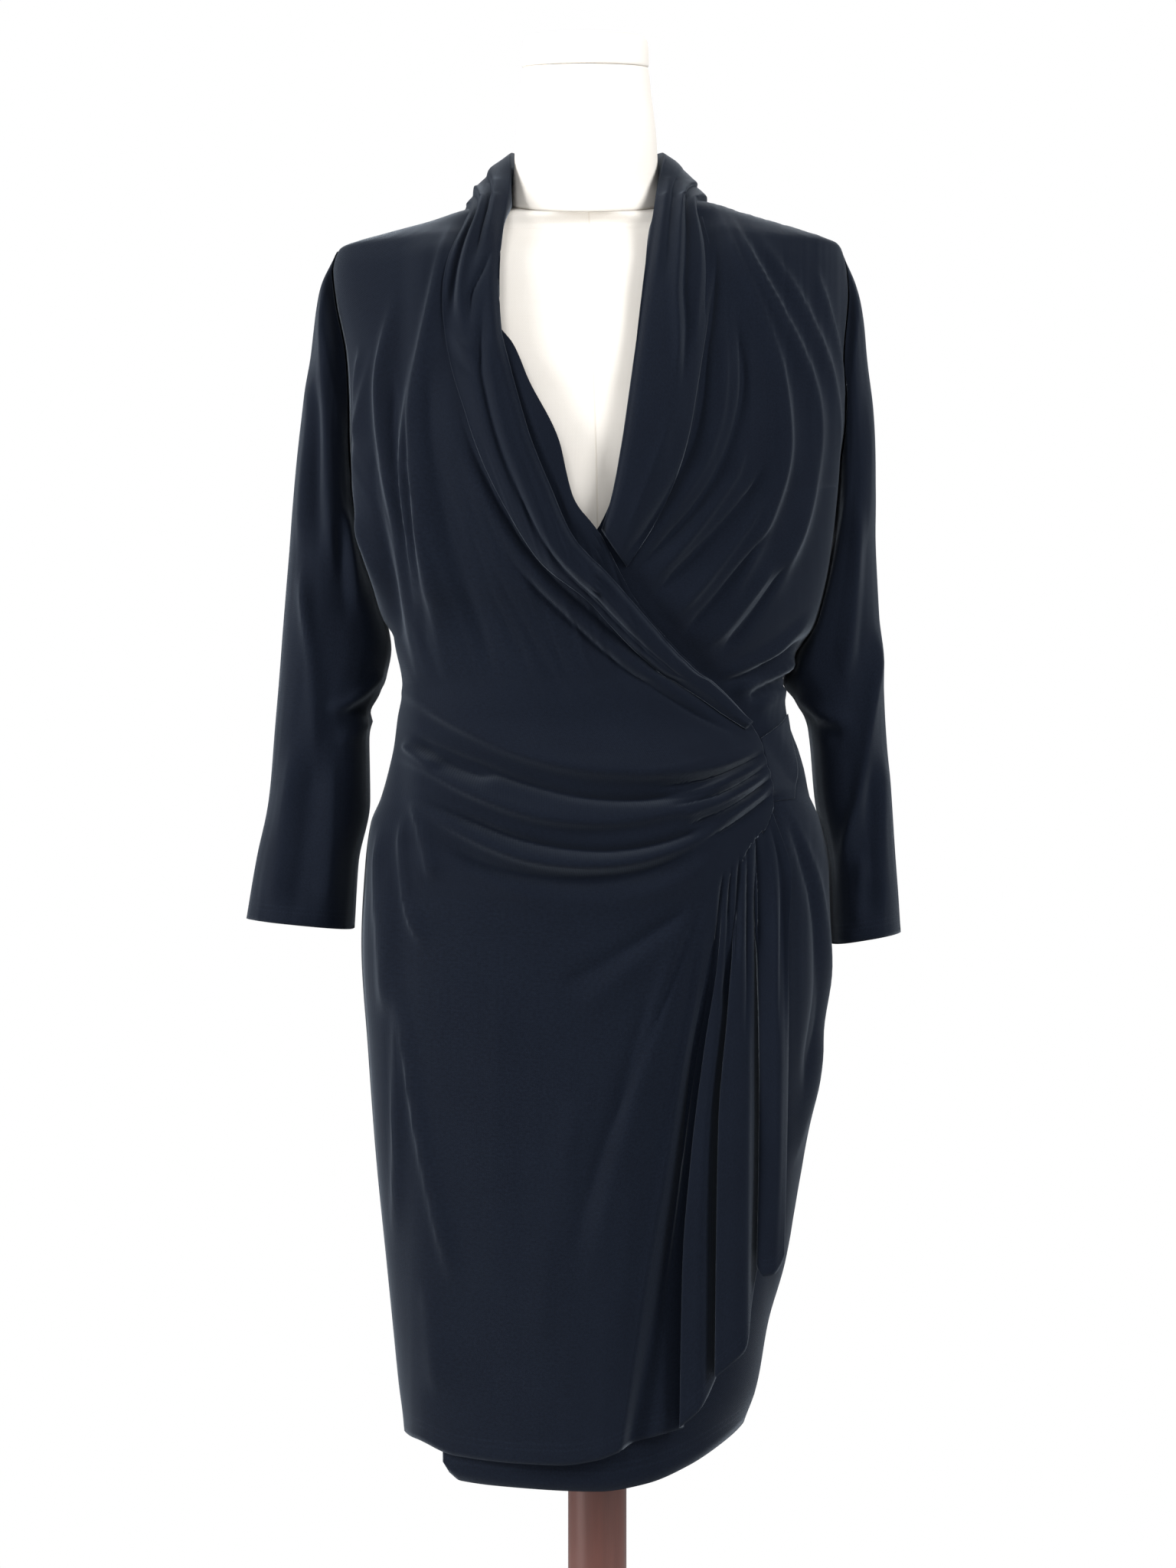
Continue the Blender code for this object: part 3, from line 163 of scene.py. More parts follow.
class Finish:
    """A material as it is mixed."""

    def __init__(self, name):
        self.material = bpy.data.materials.new(name)
        self.material.use_nodes = True
        self.tree = self.material.node_tree
        self.shader = self.tree.nodes["Principled BSDF"]

    def node(self, kind, settings=(), sockets=()):
        """One node: its settings first, then the values or links of its sockets."""
        node = self.tree.nodes.new(kind)
        for name, value in dict(settings).items():
            setattr(node, name, value)
        for name, value in dict(sockets).items():
            self.join(value, node.inputs[name])
        return node

    def join(self, value, socket):
        if isinstance(value, Value):
            self.tree.links.new(value.socket, socket)
        elif isinstance(value, bpy.types.NodeSocket):
            self.tree.links.new(value, socket)
        else:
            socket.default_value = value

    def value(self, socket):
        return Value(self.tree, socket)

    def set(self, **sockets):
        """Sets the shader's own sockets. An underscore in a name stands for a space."""
        for name, value in sockets.items():
            self.join(value, self.shader.inputs[name.replace("_", " ")])

    def noise(self, place, scale, detail, roughness=0.5):
        node = self.node("ShaderNodeTexNoise", {}, {
            "Vector": place, "Scale": scale, "Detail": detail, "Roughness": roughness})
        return self.value(node.outputs[0])

    def axes(self, place):
        """The three parts of a place."""
        node = self.node("ShaderNodeSeparateXYZ", {}, {0: place})
        return [self.value(axis) for axis in node.outputs]

    def stretched(self, place, scale):
        """The place with its axes scaled, for a pattern longer one way."""
        return self.node("ShaderNodeMapping", {}, {"Vector": place, "Scale": scale}).outputs[0]

    def blend(self, share, first, second):
        node = self.node("ShaderNodeMix", {"data_type": "RGBA"}, {0: share, 6: first, 7: second})
        return node.outputs[2]

    def bump(self, height, strength, distance):
        node = self.node("ShaderNodeBump", {}, {
            "Height": height, "Strength": strength, "Distance": distance})
        self.set(Normal=node.outputs[0])


WOOD_DARK, WOOD_RED = (0.046, 0.012, 0.009, 1), (0.135, 0.042, 0.029, 1)


def hardwood(name, grain_scale):
    """Stained hardwood under varnish. The grain runs along the axis with the smallest scale."""
    finish = Finish(name)
    place = finish.node("ShaderNodeTexCoord").outputs["Object"]
    grain = finish.noise(finish.stretched(place, grain_scale), 1.0, 6, 0.62)
    pores = finish.noise(finish.stretched(place, tuple(5.5 * s for s in grain_scale)), 1.0, 3, 0.7)
    cloudy = finish.noise(place, 9.0, 2)
    tone = grain * 0.62 + pores * 0.18 + cloudy * 0.35 - 0.12
    finish.set(Base_Color=finish.blend(tone, WOOD_DARK, WOOD_RED), Roughness=0.30 + grain * 0.22,
               Coat_Weight=0.35, Coat_Roughness=0.18)
    finish.bump(pores * 0.6 + grain * 0.4, 0.25, 0.0006)
    return finish.material


def finish_piece(item, material, slot, *nodes):
    """Gives a piece its material, its body and the CAD nodes that it stands for. Its slot is not used."""
    item.data.materials.append(material)
    item.data.shade_smooth()
    bpy.context.scene.collection.objects.link(item)
    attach(item, "root")
    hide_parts(*nodes)
    return item


def turned(name, profile, steps, material):
    """A turned piece: its profile, as radius and height, spun round the pole's axis."""
    bm = bmesh.new()
    line = [bm.verts.new((radius / 1000, 0, z / 1000)) for radius, z in profile]
    edges = [bm.edges.new(pair) for pair in zip(line[:-1], line[1:])]
    bmesh.ops.spin(bm, geom=line + edges, cent=(0, 0, 0), axis=(0, 0, 1), angle=2 * pi, steps=steps,
                   use_merge=True)
    bmesh.ops.remove_doubles(bm, verts=bm.verts, dist=1e-6)
    bmesh.ops.recalc_face_normals(bm, faces=bm.faces)
    mesh = bpy.data.meshes.new(name)
    bm.to_mesh(mesh)
    bm.free()
    item = finish_piece(bpy.data.objects.new(name, mesh), material, "stand_wood", name)
    mesh.set_sharp_from_angle(angle=radians(40))
    return item


SEAM = 0.3               # gap between neighbouring pieces
BASE_TOP_Z = 30
BASE_PROFILE = [
    (0, 0), (181, 0), (183.6, 0.8), (185, 3), (185, 12.5), (184.2, 15.6), (181.5, 18), (178, 19),
    (172, 19.5), (130, 21.6), (90, 23.2), (62, 24.2), (55, 25), (50, 26.6), (46.5, 28.6),
    (42, BASE_TOP_Z), (23, BASE_TOP_Z), (0, BASE_TOP_Z),
]
POLE_RADIUS = 22
POLE_TOP_Z = 700.0
POLE_FOOT, POLE_HEAD = BASE_TOP_Z + SEAM, POLE_TOP_Z - SEAM
POLE_PROFILE = [(0, POLE_FOOT), (POLE_RADIUS, POLE_FOOT), (POLE_RADIUS, POLE_HEAD), (0, POLE_HEAD)]
turned("form_base", BASE_PROFILE, 128, hardwood("varnished_base", (14, 90, 60)))
turned("form_pole", POLE_PROFILE, 72, hardwood("varnished_pole", (110, 110, 7)))


# ---- dress form ----------------------------------------------------------------------------------
# A padded torso, neck and cap under cream linen. The linen is sewn in panels, with a seam down the
# centre front, one round the foot of the neck and one under the cap.
def curve(knots, values):
    """A smooth line through a few rows that never swings past them."""
    knots = np.array(knots, float)
    values = np.array(values, float)
    gap = np.diff(knots)
    rise = np.diff(values) / gap
    slope = np.zeros_like(values)
    steady = rise[:-1] * rise[1:] > 0
    slope[1:-1][steady] = 2 * rise[:-1][steady] * rise[1:][steady] / (rise[:-1] + rise[1:])[steady]
    slope[0] = rise[0]
    slope[-1] = rise[-1]

    def at(x):
        x = np.clip(x, knots[0], knots[-1])
        i = np.clip(np.searchsorted(knots, x) - 1, 0, len(knots) - 2)
        t = (x - knots[i]) / gap[i]
        near = (1 + 2 * t) * (1 - t) ** 2 * values[i] + t * (1 - t) ** 2 * gap[i] * slope[i]
        far = t * t * (3 - 2 * t) * values[i + 1] + t * t * (t - 1) * gap[i] * slope[i + 1]
        return near + far

    return at


def through(table, column, along="v"):
    """The smooth line of one column of a table along another."""
    return curve([getattr(row, along) for row in table], [getattr(row, column) for row in table])


def path(knots, places):
    """A smooth line through places in space."""
    lines = [curve(knots, places[:, axis]) for axis in range(3)]
    return lambda t: np.stack([line(t) for line in lines], -1)


def smooth(t):
    """0 to 1 with level ends."""
    t = np.clip(t, 0, 1)
    return t * t * (3 - 2 * t)


CENTRE_X = -4.0          # the body's middle plane
ROUNDNESS = 2.35         # exponent of the body's sections, 2 for an ellipse
RIGHT, LEFT, BACK = -pi / 2, pi / 2, pi     # angles round the body, from its front
# A section gives how far it reaches to each side, and where its widest line lies behind the axis.
Section = namedtuple("Section", "z right left front back ridge")
DRESS = [
    Section(440, 138, 108, 90, 97, 0),
    Section(497, 141, 113, 92, 100, 0),
    Section(530, 145, 124, 93, 102, 0),
    Section(570, 149, 131, 95, 104, 0),
    Section(620, 154, 142, 97, 108, 0),
    Section(700, 162, 156, 101, 113, 0),
    Section(780, 168, 168, 104, 118, 0),
    Section(860, 173, 176, 107, 122, 0),
    Section(920, 170, 175, 107, 120, 0),
    Section(950, 166, 169, 106, 114, 0),
    Section(970, 158, 162, 104, 107, 0),
    Section(1000, 150, 154, 100, 97, 0),
    Section(1030, 144, 144, 97, 90, 0),
    Section(1055, 136, 141, 97, 86, 0),
    Section(1070, 138, 145, 100, 86, 0),
    Section(1090, 140, 157, 106, 88, 0),
    Section(1110, 149, 166, 112, 91, 0),
    Section(1150, 170, 172, 121, 97, 0),
    Section(1190, 176, 177, 126, 102, 0),
    Section(1230, 181, 182, 127, 106, 0),
    Section(1270, 185, 186, 121, 109, 2),
    Section(1300, 188, 189, 112, 110, 4),
    Section(1340, 194, 191, 93, 108, 8),
    Section(1365, 195, 190, 78, 101, 11),
    Section(1382, 191, 187, 64, 92, 13),
    Section(1392, 162, 162, 55, 84, 13),
    Section(1400, 131, 134, 51, 76, 12),
    Section(1409, 101, 101, 50, 70, 10),
    Section(1413, 82, 82, 50, 67, 9),
    Section(1417, 66, 66, 52, 69, 8),
    Section(1432, 61, 61, 51, 66, 6),
]
FORM = [
    Section(POLE_TOP_Z, 138, 138, 84, 97, 0),
    Section(780, 147, 147, 91, 107, 0),
    Section(860, 160, 160, 98, 114, 0),
    Section(920, 158, 160, 99, 112, 0),
    Section(970, 145, 147, 96, 98, 0),
    Section(1000, 133, 134, 92, 88, 0),
    Section(1030, 124, 124, 88, 80, 0),
    Section(1055, 120, 120, 87, 77, 0),
    Section(1090, 126, 126, 93, 80, 0),
    Section(1150, 143, 143, 112, 89, 0),
    Section(1190, 151, 151, 119, 96, 0),
    Section(1230, 157, 157, 121, 101, 0),
    Section(1270, 160, 160, 115, 104, 1),
    Section(1300, 162, 162, 106, 105, 3),
    Section(1340, 168, 168, 85, 100, 7),
    Section(1365, 168, 168, 69, 90, 10),
    Section(1380, 164, 164, 55, 79, 12),
    Section(1388, 152, 152, 47, 71, 12),
]


def body_of(sections):
    """The surface through a stack of sections: a point from its angle and height, the angle under a
    point of the front, and a field that is 0 on the surface and grows outwards."""
    heights = [s.z for s in sections]
    right, left, ridge = [through(sections, column, "z") for column in ("right", "left", "ridge")]
    front = curve(heights, [s.front + s.ridge for s in sections])
    back = curve(heights, [s.back - s.ridge for s in sections])

    def at(angle, z):
        side = np.sin(angle)
        width = np.where(side < 0, right(z), left(z))
        depth = (1 - np.minimum(np.abs(side), 1) ** ROUNDNESS) ** (1 / ROUNDNESS)
        reach = np.where(np.cos(angle) > 0, -front(z), back(z))
        return np.stack([CENTRE_X + width * side, ridge(z) + reach * depth, z + 0 * side], -1)

    def angle_of(x, z):
        width = np.where(x < CENTRE_X, right(z), left(z))
        return np.arcsin(np.clip((x - CENTRE_X) / width, -1, 1))

    def field(points):
        x, y, z = points[..., 0] - CENTRE_X, points[..., 1], points[..., 2]
        width = np.where(x < 0, right(z), left(z))
        y = y - ridge(z)
        reach = np.where(y < 0, front(z), back(z))
        return np.abs(x / width) ** ROUNDNESS + np.abs(y / reach) ** ROUNDNESS - 1

    return at, angle_of, field


body, body_angle, body_field = body_of(DRESS)
form_body = body_of(FORM)[0]
ridge_at = through(DRESS, "ridge", "z")


def grid_piece(name, points, wrap=False):
    """A mesh from a grid of points, rows upwards and columns to the right as seen from outside. Its
    UV map is in metres of cloth. With wrap the last column is joined to the first."""
    if wrap:
        points = np.concatenate([points, points[:, :1]], axis=1)
    rows, columns = points.shape[:2]
    bm = bmesh.new()
    bm.loops.layers.uv.new("Cloth")
    bmesh.ops.create_grid(bm, x_segments=columns - 1, y_segments=rows - 1, size=1, calc_uvs=True)
    mesh = bpy.data.meshes.new(name)
    bm.to_mesh(mesh)
    mesh.vertices.foreach_set("co", (points / 1000).astype(np.float32).ravel())
    wide = np.linalg.norm(np.diff(points, axis=1), axis=-1).sum(1).mean() / 1000
    long = np.linalg.norm(np.diff(points, axis=0), axis=-1).sum(0).mean() / 1000
    uv = np.zeros(len(mesh.loops) * 2, np.float32)
    mesh.uv_layers[0].data.foreach_get("uv", uv)
    uv = uv.reshape(-1, 2) * np.array((wide, long), np.float32)
    mesh.uv_layers[0].data.foreach_set("uv", uv.ravel())
    mesh.update()
    if wrap:
        bm.clear()
        bm.from_mesh(mesh)
        bmesh.ops.remove_doubles(bm, verts=bm.verts, dist=1e-6)
        bm.to_mesh(mesh)
    bm.free()
    return bpy.data.objects.new(name, mesh)


def form_piece(name, points, material):
    """A piece of the form, wrapped round and closed at both ends, that stands for its CAD node."""
    item = grid_piece(name, points, wrap=True)
    bm = bmesh.new()
    bm.from_mesh(item.data)
    bmesh.ops.holes_fill(bm, edges=[e for e in bm.edges if e.is_boundary], sides=0)
    bmesh.ops.recalc_face_normals(bm, faces=bm.faces)
    bm.to_mesh(item.data)
    bm.free()
    finish_piece(item, material, "linen", name)


LINEN_PALE, LINEN_SHADE = (0.84, 0.81, 0.765, 1), (0.72, 0.67, 0.60, 1)
LINEN_THREAD = 0.0011        # metres from one thread to the next but one
CENTRE_SEAM_FOOT = (0.0005, 1.15)        # x and z of the centre front seam, low on the chest
CENTRE_SEAM_TOP = (-0.0065, 1.41)        # and at the neck, in metres
CENTRE_SEAM_WIDE = 0.0009                # half of its width


def linen(name, seamed):
    """Plain-woven cream linen: warp and weft threads, a few thicker ones, and slight shading. A
    seamed piece has a sewn seam down its centre front, sunk as a groove with painted shade along it."""
    finish = Finish(name)
    place = finish.node("ShaderNodeTexCoord").outputs["UV"]
    across, up = finish.axes(place)[:2]
    slub = (finish.noise(finish.stretched(place, (900, 40, 1)), 1.0, 2)
            + finish.noise(finish.stretched(place, (40, 900, 1)), 1.0, 2))
    warp, weft = across * (2 * pi / LINEN_THREAD), up * (2 * pi / LINEN_THREAD)
    weave = warp.wave() * weft.wave() + (warp + pi).wave() * (weft + pi).wave()
    soft = finish.noise(place, 22.0, 3)
    shade = 0.12 + slub * 0.18 + soft * 0.35 - weave * 0.15
    height = weave * 0.6 + slub * 0.4
    if seamed:
        x, y, z = finish.axes(finish.node("ShaderNodeTexCoord").outputs["Object"])
        (foot_x, foot_z), (top_x, top_z) = CENTRE_SEAM_FOOT, CENTRE_SEAM_TOP
        rise = ((z - foot_z) / (top_z - foot_z)).at_most(1.0)
        away = abs(x - foot_x - rise * (top_x - foot_x))
        line = (1 - away / CENTRE_SEAM_WIDE).at_least(0.0) * y.under(0.0)
        # the seam's line is painted darker here, as painted shade in the groove that its bump sinks
        shade = shade + line * 0.9
        height = height - line * 4
    finish.set(Base_Color=finish.blend(shade, LINEN_PALE, LINEN_SHADE), Roughness=0.82 + slub * 0.06,
               Specular_IOR_Level=0.3, Sheen_Weight=0.1)
    finish.bump(height, 0.22, 0.0004)
    return finish.material


FORM_COLUMNS = 144
SHOULDER_FOOT_Z = 1390.0     # where the form's shoulders start towards the neck
SHOULDER_EASE = 4.5      # how close the form's shoulders come to the cloth they carry
SHOULDER_SLIM = 0.86     # depth of the form's shoulders against the cloth's
NECK_SEAM = {"side": 1417.0, "front": 1402.0, "back": 1428.0}
TORSO_TOP = (58.0, 57.0, -8.0, 6.0)      # half width, half depth, x and y of the torso's upper end
TUCK, TUCK_WIDE = 0.9, 1.6       # how far the torso's linen turns in at the neck seam
CAP_SEAM_Z = 1519.0
CAP_TILT = 0.16          # slope of the neck cap, down towards the front
CAP_RISE = 24.0
CAP_WIDE, CAP_DEEP = 47, 49      # the neck's half width and half depth under the cap
CAP_X, CAP_Y, CAP_LEAN = -9.0, -4.0, 2       # the cap's axis, and how far it leans forward
form_linen = linen("cream_linen", False)
around = np.linspace(0, 2 * pi, FORM_COLUMNS + 1)[:-1]


def neck_ring(half_width, half_depth, x, y, z):
    """An oval ring round the neck's axis at x and y."""
    return np.stack([x + half_width * np.sin(around), y - half_depth * np.cos(around), z + 0 * around], -1)


ahead = np.cos(around)
furthest = np.where(ahead > 0, NECK_SEAM["front"], NECK_SEAM["back"])
neck_seam = NECK_SEAM["side"] + np.abs(ahead) * (furthest - NECK_SEAM["side"])
foot = neck_ring(*TORSO_TOP, neck_seam)
rings = [form_body(around, z + 0 * around) for z in np.linspace(POLE_TOP_Z, SHOULDER_FOOT_Z - 4, 150)]
to_foot = curve([0, 0.4, 0.55, 0.8, 1], [0, 0, 0.125, 0.593, 1])
for t in np.linspace(0.06, 1, 20):
    z = SHOULDER_FOOT_Z + (neck_seam - SHOULDER_FOOT_Z) * t
    carried = body(around, z + SHOULDER_EASE)
    middle = ridge_at(z)
    carried[:, 1] = middle + (carried[:, 1] - middle) * SHOULDER_SLIM
    carried[:, 2] = z
    rings.append(carried + (foot - carried) * to_foot(t))
torso = np.stack(rings)
from_top = neck_seam - torso[..., 2]
inwards = TUCK * np.exp(-(from_top / TUCK_WIDE) ** 2)[..., None]
torso = torso - inwards * (torso - torso.mean(axis=1, keepdims=True)) / TORSO_TOP[0]
form_piece("form_torso", torso, linen("cream_linen_seamed", True))

Neck = namedtuple("Neck", "rise half_width half_depth x y")
NECK_RINGS = [
    Neck(0.000, 57.4, 56.4, -8.0, 6.0), Neck(0.012, 58.4, 57.4, -8.0, 5.9),
    Neck(0.035, 58.2, 57.2, -8.0, 5.7), Neck(0.180, 55.0, 54.0, -8.5, 4.0),
    Neck(0.500, 53.0, 52.5, -8.5, 1.0), Neck(0.800, 49.4, 50.7, -8.7, -2.0),
    Neck(0.985, 47.4, 49.3, -9.0, -3.9), Neck(1.000, 46.6, 48.6, -9.0, -4.0),
]
cap_seam = CAP_SEAM_Z - CAP_TILT * CAP_DEEP * ahead
neck_rise = np.concatenate([np.linspace(0, 0.05, 8)[:-1], np.linspace(0.05, 0.96, 50),
                            np.linspace(0.97, 1, 6)])
sizes = [through(NECK_RINGS, column, "rise")(neck_rise) for column in Neck._fields[1:]]
neck = np.stack([neck_ring(*size, neck_seam + SEAM + (cap_seam - SEAM - neck_seam) * rise)
                 for size, rise in zip(zip(*sizes), neck_rise)])
form_piece("form_neck", neck, form_linen)

Cap = namedtuple("Cap", "rise half")
CAP_RINGS = [
    Cap(0.0, 46.8), Cap(0.03, 47.5), Cap(0.12, 47.8), Cap(0.5, 47.5), Cap(0.78, 46.6),
    Cap(0.9, 45.2), Cap(0.97, 42.5), Cap(1.0, 38.0), Cap(1.012, 25.0), Cap(1.018, 8.0),
]
cap = []
for row in CAP_RINGS:
    z = CAP_SEAM_Z + SEAM + CAP_RISE * row.rise - CAP_TILT * CAP_DEEP * row.half / CAP_WIDE * ahead
    deep = row.half * CAP_DEEP / CAP_WIDE
    cap.append(neck_ring(row.half, deep, CAP_X, CAP_Y - row.rise * CAP_LEAN, z))
cap = np.stack(cap)
knots = np.arange(len(CAP_RINGS))
fine = np.linspace(0, knots[-1], 46)
cap = np.stack([path(knots, cap[:, n])(fine) for n in range(FORM_COLUMNS)], 1)
form_piece("form_neck_cap", cap, form_linen)


# ---- back ----------------------------------------------------------------------------------------
# The back is one panel of black viscose jersey from the shoulders to the hem. It blouses a little
# over the waist, hangs in soft folds from the shoulder blades and has a twin-needled hem.
JERSEY_DEEP, JERSEY_LIT = (0.0004, 0.0018, 0.0062, 1), (0.0040, 0.0072, 0.0152, 1)
SHEEN_BLUE = (0.75, 0.86, 1.0, 1)
WALE, COURSE = 0.0011, 0.0009    # width and height of a knitted stitch, in metres
HEM_STITCH = 0.010       # metres from the hem's edge to its first row of stitches
HEM_ROWS_APART = 0.004   # metres, as are the next two
HEM_ROW_HALF = 0.0007
HEM_STITCH_LONG = 0.0032


def jersey(name, hemmed):
    """Fine black jersey: rows of small V-shaped stitches, a soft bloom and, on a hemmed piece, a
    twin-needle seam along its lower edge."""
    finish = Finish(name)
    place = finish.node("ShaderNodeTexCoord").outputs["UV"]
    across, up = finish.axes(place)[:2]
    leg = abs((across / WALE).part() - 0.5) * 2
    stitch = ((up / COURSE + leg * 0.55) * (2 * pi)).wave() * (1 - leg ** 3)
    cloudy = finish.noise(place, 26.0, 3)
    grainy = finish.noise(finish.stretched(place, (1400, 700, 1)), 1.0, 2)
    fleck = finish.noise(place, 620.0, 2)
    tone = cloudy * 0.35 + fleck * 1.2 + grainy * 0.4 + stitch * 0.15 - 0.6
    height = stitch * 0.7 + grainy * 0.5
    if hemmed:
        row = (abs(up - HEM_STITCH).under(HEM_ROW_HALF)
               + abs(up - HEM_STITCH - HEM_ROWS_APART).under(HEM_ROW_HALF))
        bite = row * (across / HEM_STITCH_LONG).part().under(0.72)
        height = height - row * 1.2 - bite * 1.6
        tone = tone + bite * 0.25
    finish.set(Base_Color=finish.blend(tone, JERSEY_DEEP, JERSEY_LIT), Roughness=0.76 + grainy * 0.14,
               Specular_IOR_Level=0.10, Sheen_Weight=0.25, Sheen_Roughness=0.38, Sheen_Tint=SHEEN_BLUE)
    finish.bump(height, 0.35, 0.0003)
    return finish.material


hemmed_jersey = jersey("black_jersey_hemmed", True)
plain_jersey = jersey("black_jersey", False)
WALL = 0.9               # the cloth's thickness as it shows
CLOTH = 1.6              # room that one layer of cloth takes
LAYER = 1.6              # air between the two fronts where one lies on the other
UNDERARM_Z = 1207.0
SHOULDER_Z = 1382.0
NECK_POINT_Z = 1417.0    # where the shoulder seam meets the neck
ARMHOLE_BITE = 15.0      # degrees that the armhole cuts into the front and the back
SIDE_HEM_Z = 497.0
SEAM_FADE = 26.0         # how far from a side or shoulder seam the folds reach their full height


def slope_of(points):
    """The body field's gradient."""
    steps = np.eye(3) * 0.5
    return np.stack([body_field(points + step) - body_field(points - step) for step in steps], -1)


def outward(points):
    """The body's unit normal at or near its surface."""
    slope = slope_of(points)
    return slope / np.maximum(np.linalg.norm(slope, axis=-1, keepdims=True), 1e-9)


def height_over(points):
    """About how far points stand out from the body."""
    return body_field(points) / np.maximum(np.linalg.norm(slope_of(points), axis=-1), 1e-9)


def settle(points):
    """Brings points onto the body's surface."""
    for _ in range(7):
        slope = slope_of(points)
        step = body_field(points) / np.maximum((slope ** 2).sum(-1), 1e-9)
        points = points - slope * np.clip(step, -1e6, 1e6)[..., None]
    return points


def keep_clear(points, least):
    """Lifts points that stand less than least out from the body."""
    for _ in range(3):
        short = np.maximum(least - height_over(points), 0)
        points = points + outward(points) * short[..., None]
    return points


def drawn(points):
    """World points as x and z on the front elevation."""
    near = EYE_AWAY / (EYE_AWAY + points[..., 1])
    return EYE_X + (points[..., 0] - EYE_X) * near, EYE_HEIGHT + (points[..., 2] - EYE_HEIGHT) * near


def from_drawing(x, z, lift=3.0):
    """The place on the body under a point of the front elevation."""
    x = np.asarray(x, float)
    z = np.asarray(z, float)
    depth = np.full_like(x, 100.0)
    for _ in range(8):
        scale = (EYE_AWAY - depth) / EYE_AWAY
        real_x = EYE_X + (x - EYE_X) * scale
        real_z = EYE_HEIGHT + (z - EYE_HEIGHT) * scale
        place = body(body_angle(real_x, real_z), real_z)
        depth = lift - place[..., 1]
    return place


# A fold is a ridge, or with a height below 0 a trough, along a line of x and z places. On the fronts
# and the sleeves the places are on the front elevation.
Fold = namedtuple("Fold", "height width lean line")
CREST = 1.5              # 2 for a round fold, 1 for a sharp one


def rounded(line):
    """A line through a few places, with its corners rounded off."""
    line = np.array(line, float)
    for _ in range(3):
        near, far = line[:-1], line[1:]
        cut = np.stack([0.75 * near + 0.25 * far, 0.25 * near + 0.75 * far], 1).reshape(-1, 2)
        line = np.vstack([line[:1], cut, line[-1:]])
    return line


def fold_push(folds, x, z):
    """How far folds push the cloth out. Each is a soft ridge, or a trough, along its line. A lean
    above 0 makes it wider on the line's left side and steeper on its right one."""
    push = np.zeros_like(x)
    for fold in folds:
        line = rounded(fold.line)
        reach = 3.5 * fold.width * (1 + abs(fold.lean))
        near = ((x > line[:, 0].min() - reach) & (x < line[:, 0].max() + reach)
                & (z > line[:, 1].min() - reach) & (z < line[:, 1].max() + reach))
        if not near.any():
            continue
        px, pz = x[near], z[near]
        best = np.full_like(px, 1e9)
        along = np.zeros_like(px)
        side = np.zeros_like(px)
        spans = np.linalg.norm(np.diff(line, axis=0), axis=1)
        done = 0.0
        for start, end, span in zip(line[:-1], line[1:], spans):
            way = (end - start) / span
            dx, dz = px - start[0], pz - start[1]
            t = np.clip(dx * way[0] + dz * way[1], 0, span)
            away = np.hypot(dx - way[0] * t, dz - way[1] * t)
            closer = away < best
            best = np.where(closer, away, best)
            along = np.where(closer, (done + t) / spans.sum(), along)
            side = np.where(closer, way[0] * dz - way[1] * dx, side)
            done += span
        ends = smooth(along / 0.24 + 0.06) * smooth((1 - along) / 0.24 + 0.06)
        uneven = 1 + 0.18 * np.sin(along * 9 + fold.height * 5 + line[0, 0])
        width = fold.width * (1 + fold.lean * np.sign(side)) * (0.8 + 0.5 * along)
        push[near] += fold.height * uneven * ends * np.exp(-(best / width) ** CREST)
    return push


def held(push, most):
    """Keeps troughs from going deeper than most."""
    return np.where(push < 0, -most * np.tanh(-push / most), push)


def streaks(across, along, pitch, phase):
    """Fine uneven hang lines, from about -1 to 1. across is in millimetres and along from 0 to 1."""
    total = 0
    for n, share in enumerate((1.0, 0.62, 0.41, 0.27)):
        bend = 1.3 * np.sin(along * (1.7 + n) + n + phase)
        fade = 0.6 + 0.4 * np.sin(along * (3.1 + 1.3 * n) + 2 * n + phase + across / 90)
        turn = across * 2 * pi / (pitch * share) + phase + 2.1 * n + bend
        total = total + np.sin(turn) * share ** 0.6 * fade
    return total / 1.8


def clear_of_seams(points):
    """1 on the front, fading to 0 at the side and shoulder seams, where folds die out."""
    return smooth((ridge_at(points[..., 2]) - points[..., 1] - 1) / SEAM_FADE)


EVENING_STEPS = 30       # rounds of evening out the grid inside the back's edges


def patch(bottom, top, left, right, u, v, steps=0):
    """Points inside four edges, on the body, with steps rounds of evening out."""
    u = u[None, :, None]
    v = v[:, None, None]
    sides = (1 - u) * left[:, None] + u * right[:, None]
    ends = (1 - v) * bottom[None] + v * top[None]
    corners = ((1 - u) * (1 - v) * bottom[0] + u * (1 - v) * bottom[-1]
               + (1 - u) * v * top[0] + u * v * top[-1])
    points = settle(sides + ends - corners)
    for _ in range(steps):
        beside = points[:-2, 1:-1] + points[2:, 1:-1] + points[1:-1, :-2] + points[1:-1, 2:]
        points[1:-1, 1:-1] = beside / 4
        points = settle(points)
    return points


def finer(points, rows, columns):
    """The same surface with more rows and columns."""
    for count in (rows, columns):
        old = np.arange(len(points))
        new = np.linspace(0, old[-1], count)
        lines = [curve(old, line)(new) for line in points.reshape(len(old), -1).T]
        points = np.stack(lines, -1).reshape(count, -1, 3).swapaxes(0, 1)
    return points


def along_rows(table, v):
    """The place on the body at each v of an edge drawn on the elevation."""
    return from_drawing(through(table, "x")(v), through(table, "z")(v))


def armhole_heights(rows):
    """Heights of the cut edge's points, from the underarm to the shoulder."""
    middle = (SHOULDER_Z + UNDERARM_Z) / 2
    return middle - (SHOULDER_Z - UNDERARM_Z) / 2 * np.cos(pi * np.linspace(0, 1, rows + 1))


def side_points(seat, z, turn):
    """The side seam below the underarm and the armhole's cut edge above it. turn is +1 or -1, the
    way round that the armhole cuts in."""
    rise = np.clip((z - UNDERARM_Z) / (SHOULDER_Z - UNDERARM_Z), 0, 1)
    bite = radians(ARMHOLE_BITE) * np.sin(pi * rise) ** 0.7
    return body(seat + turn * bite, z)


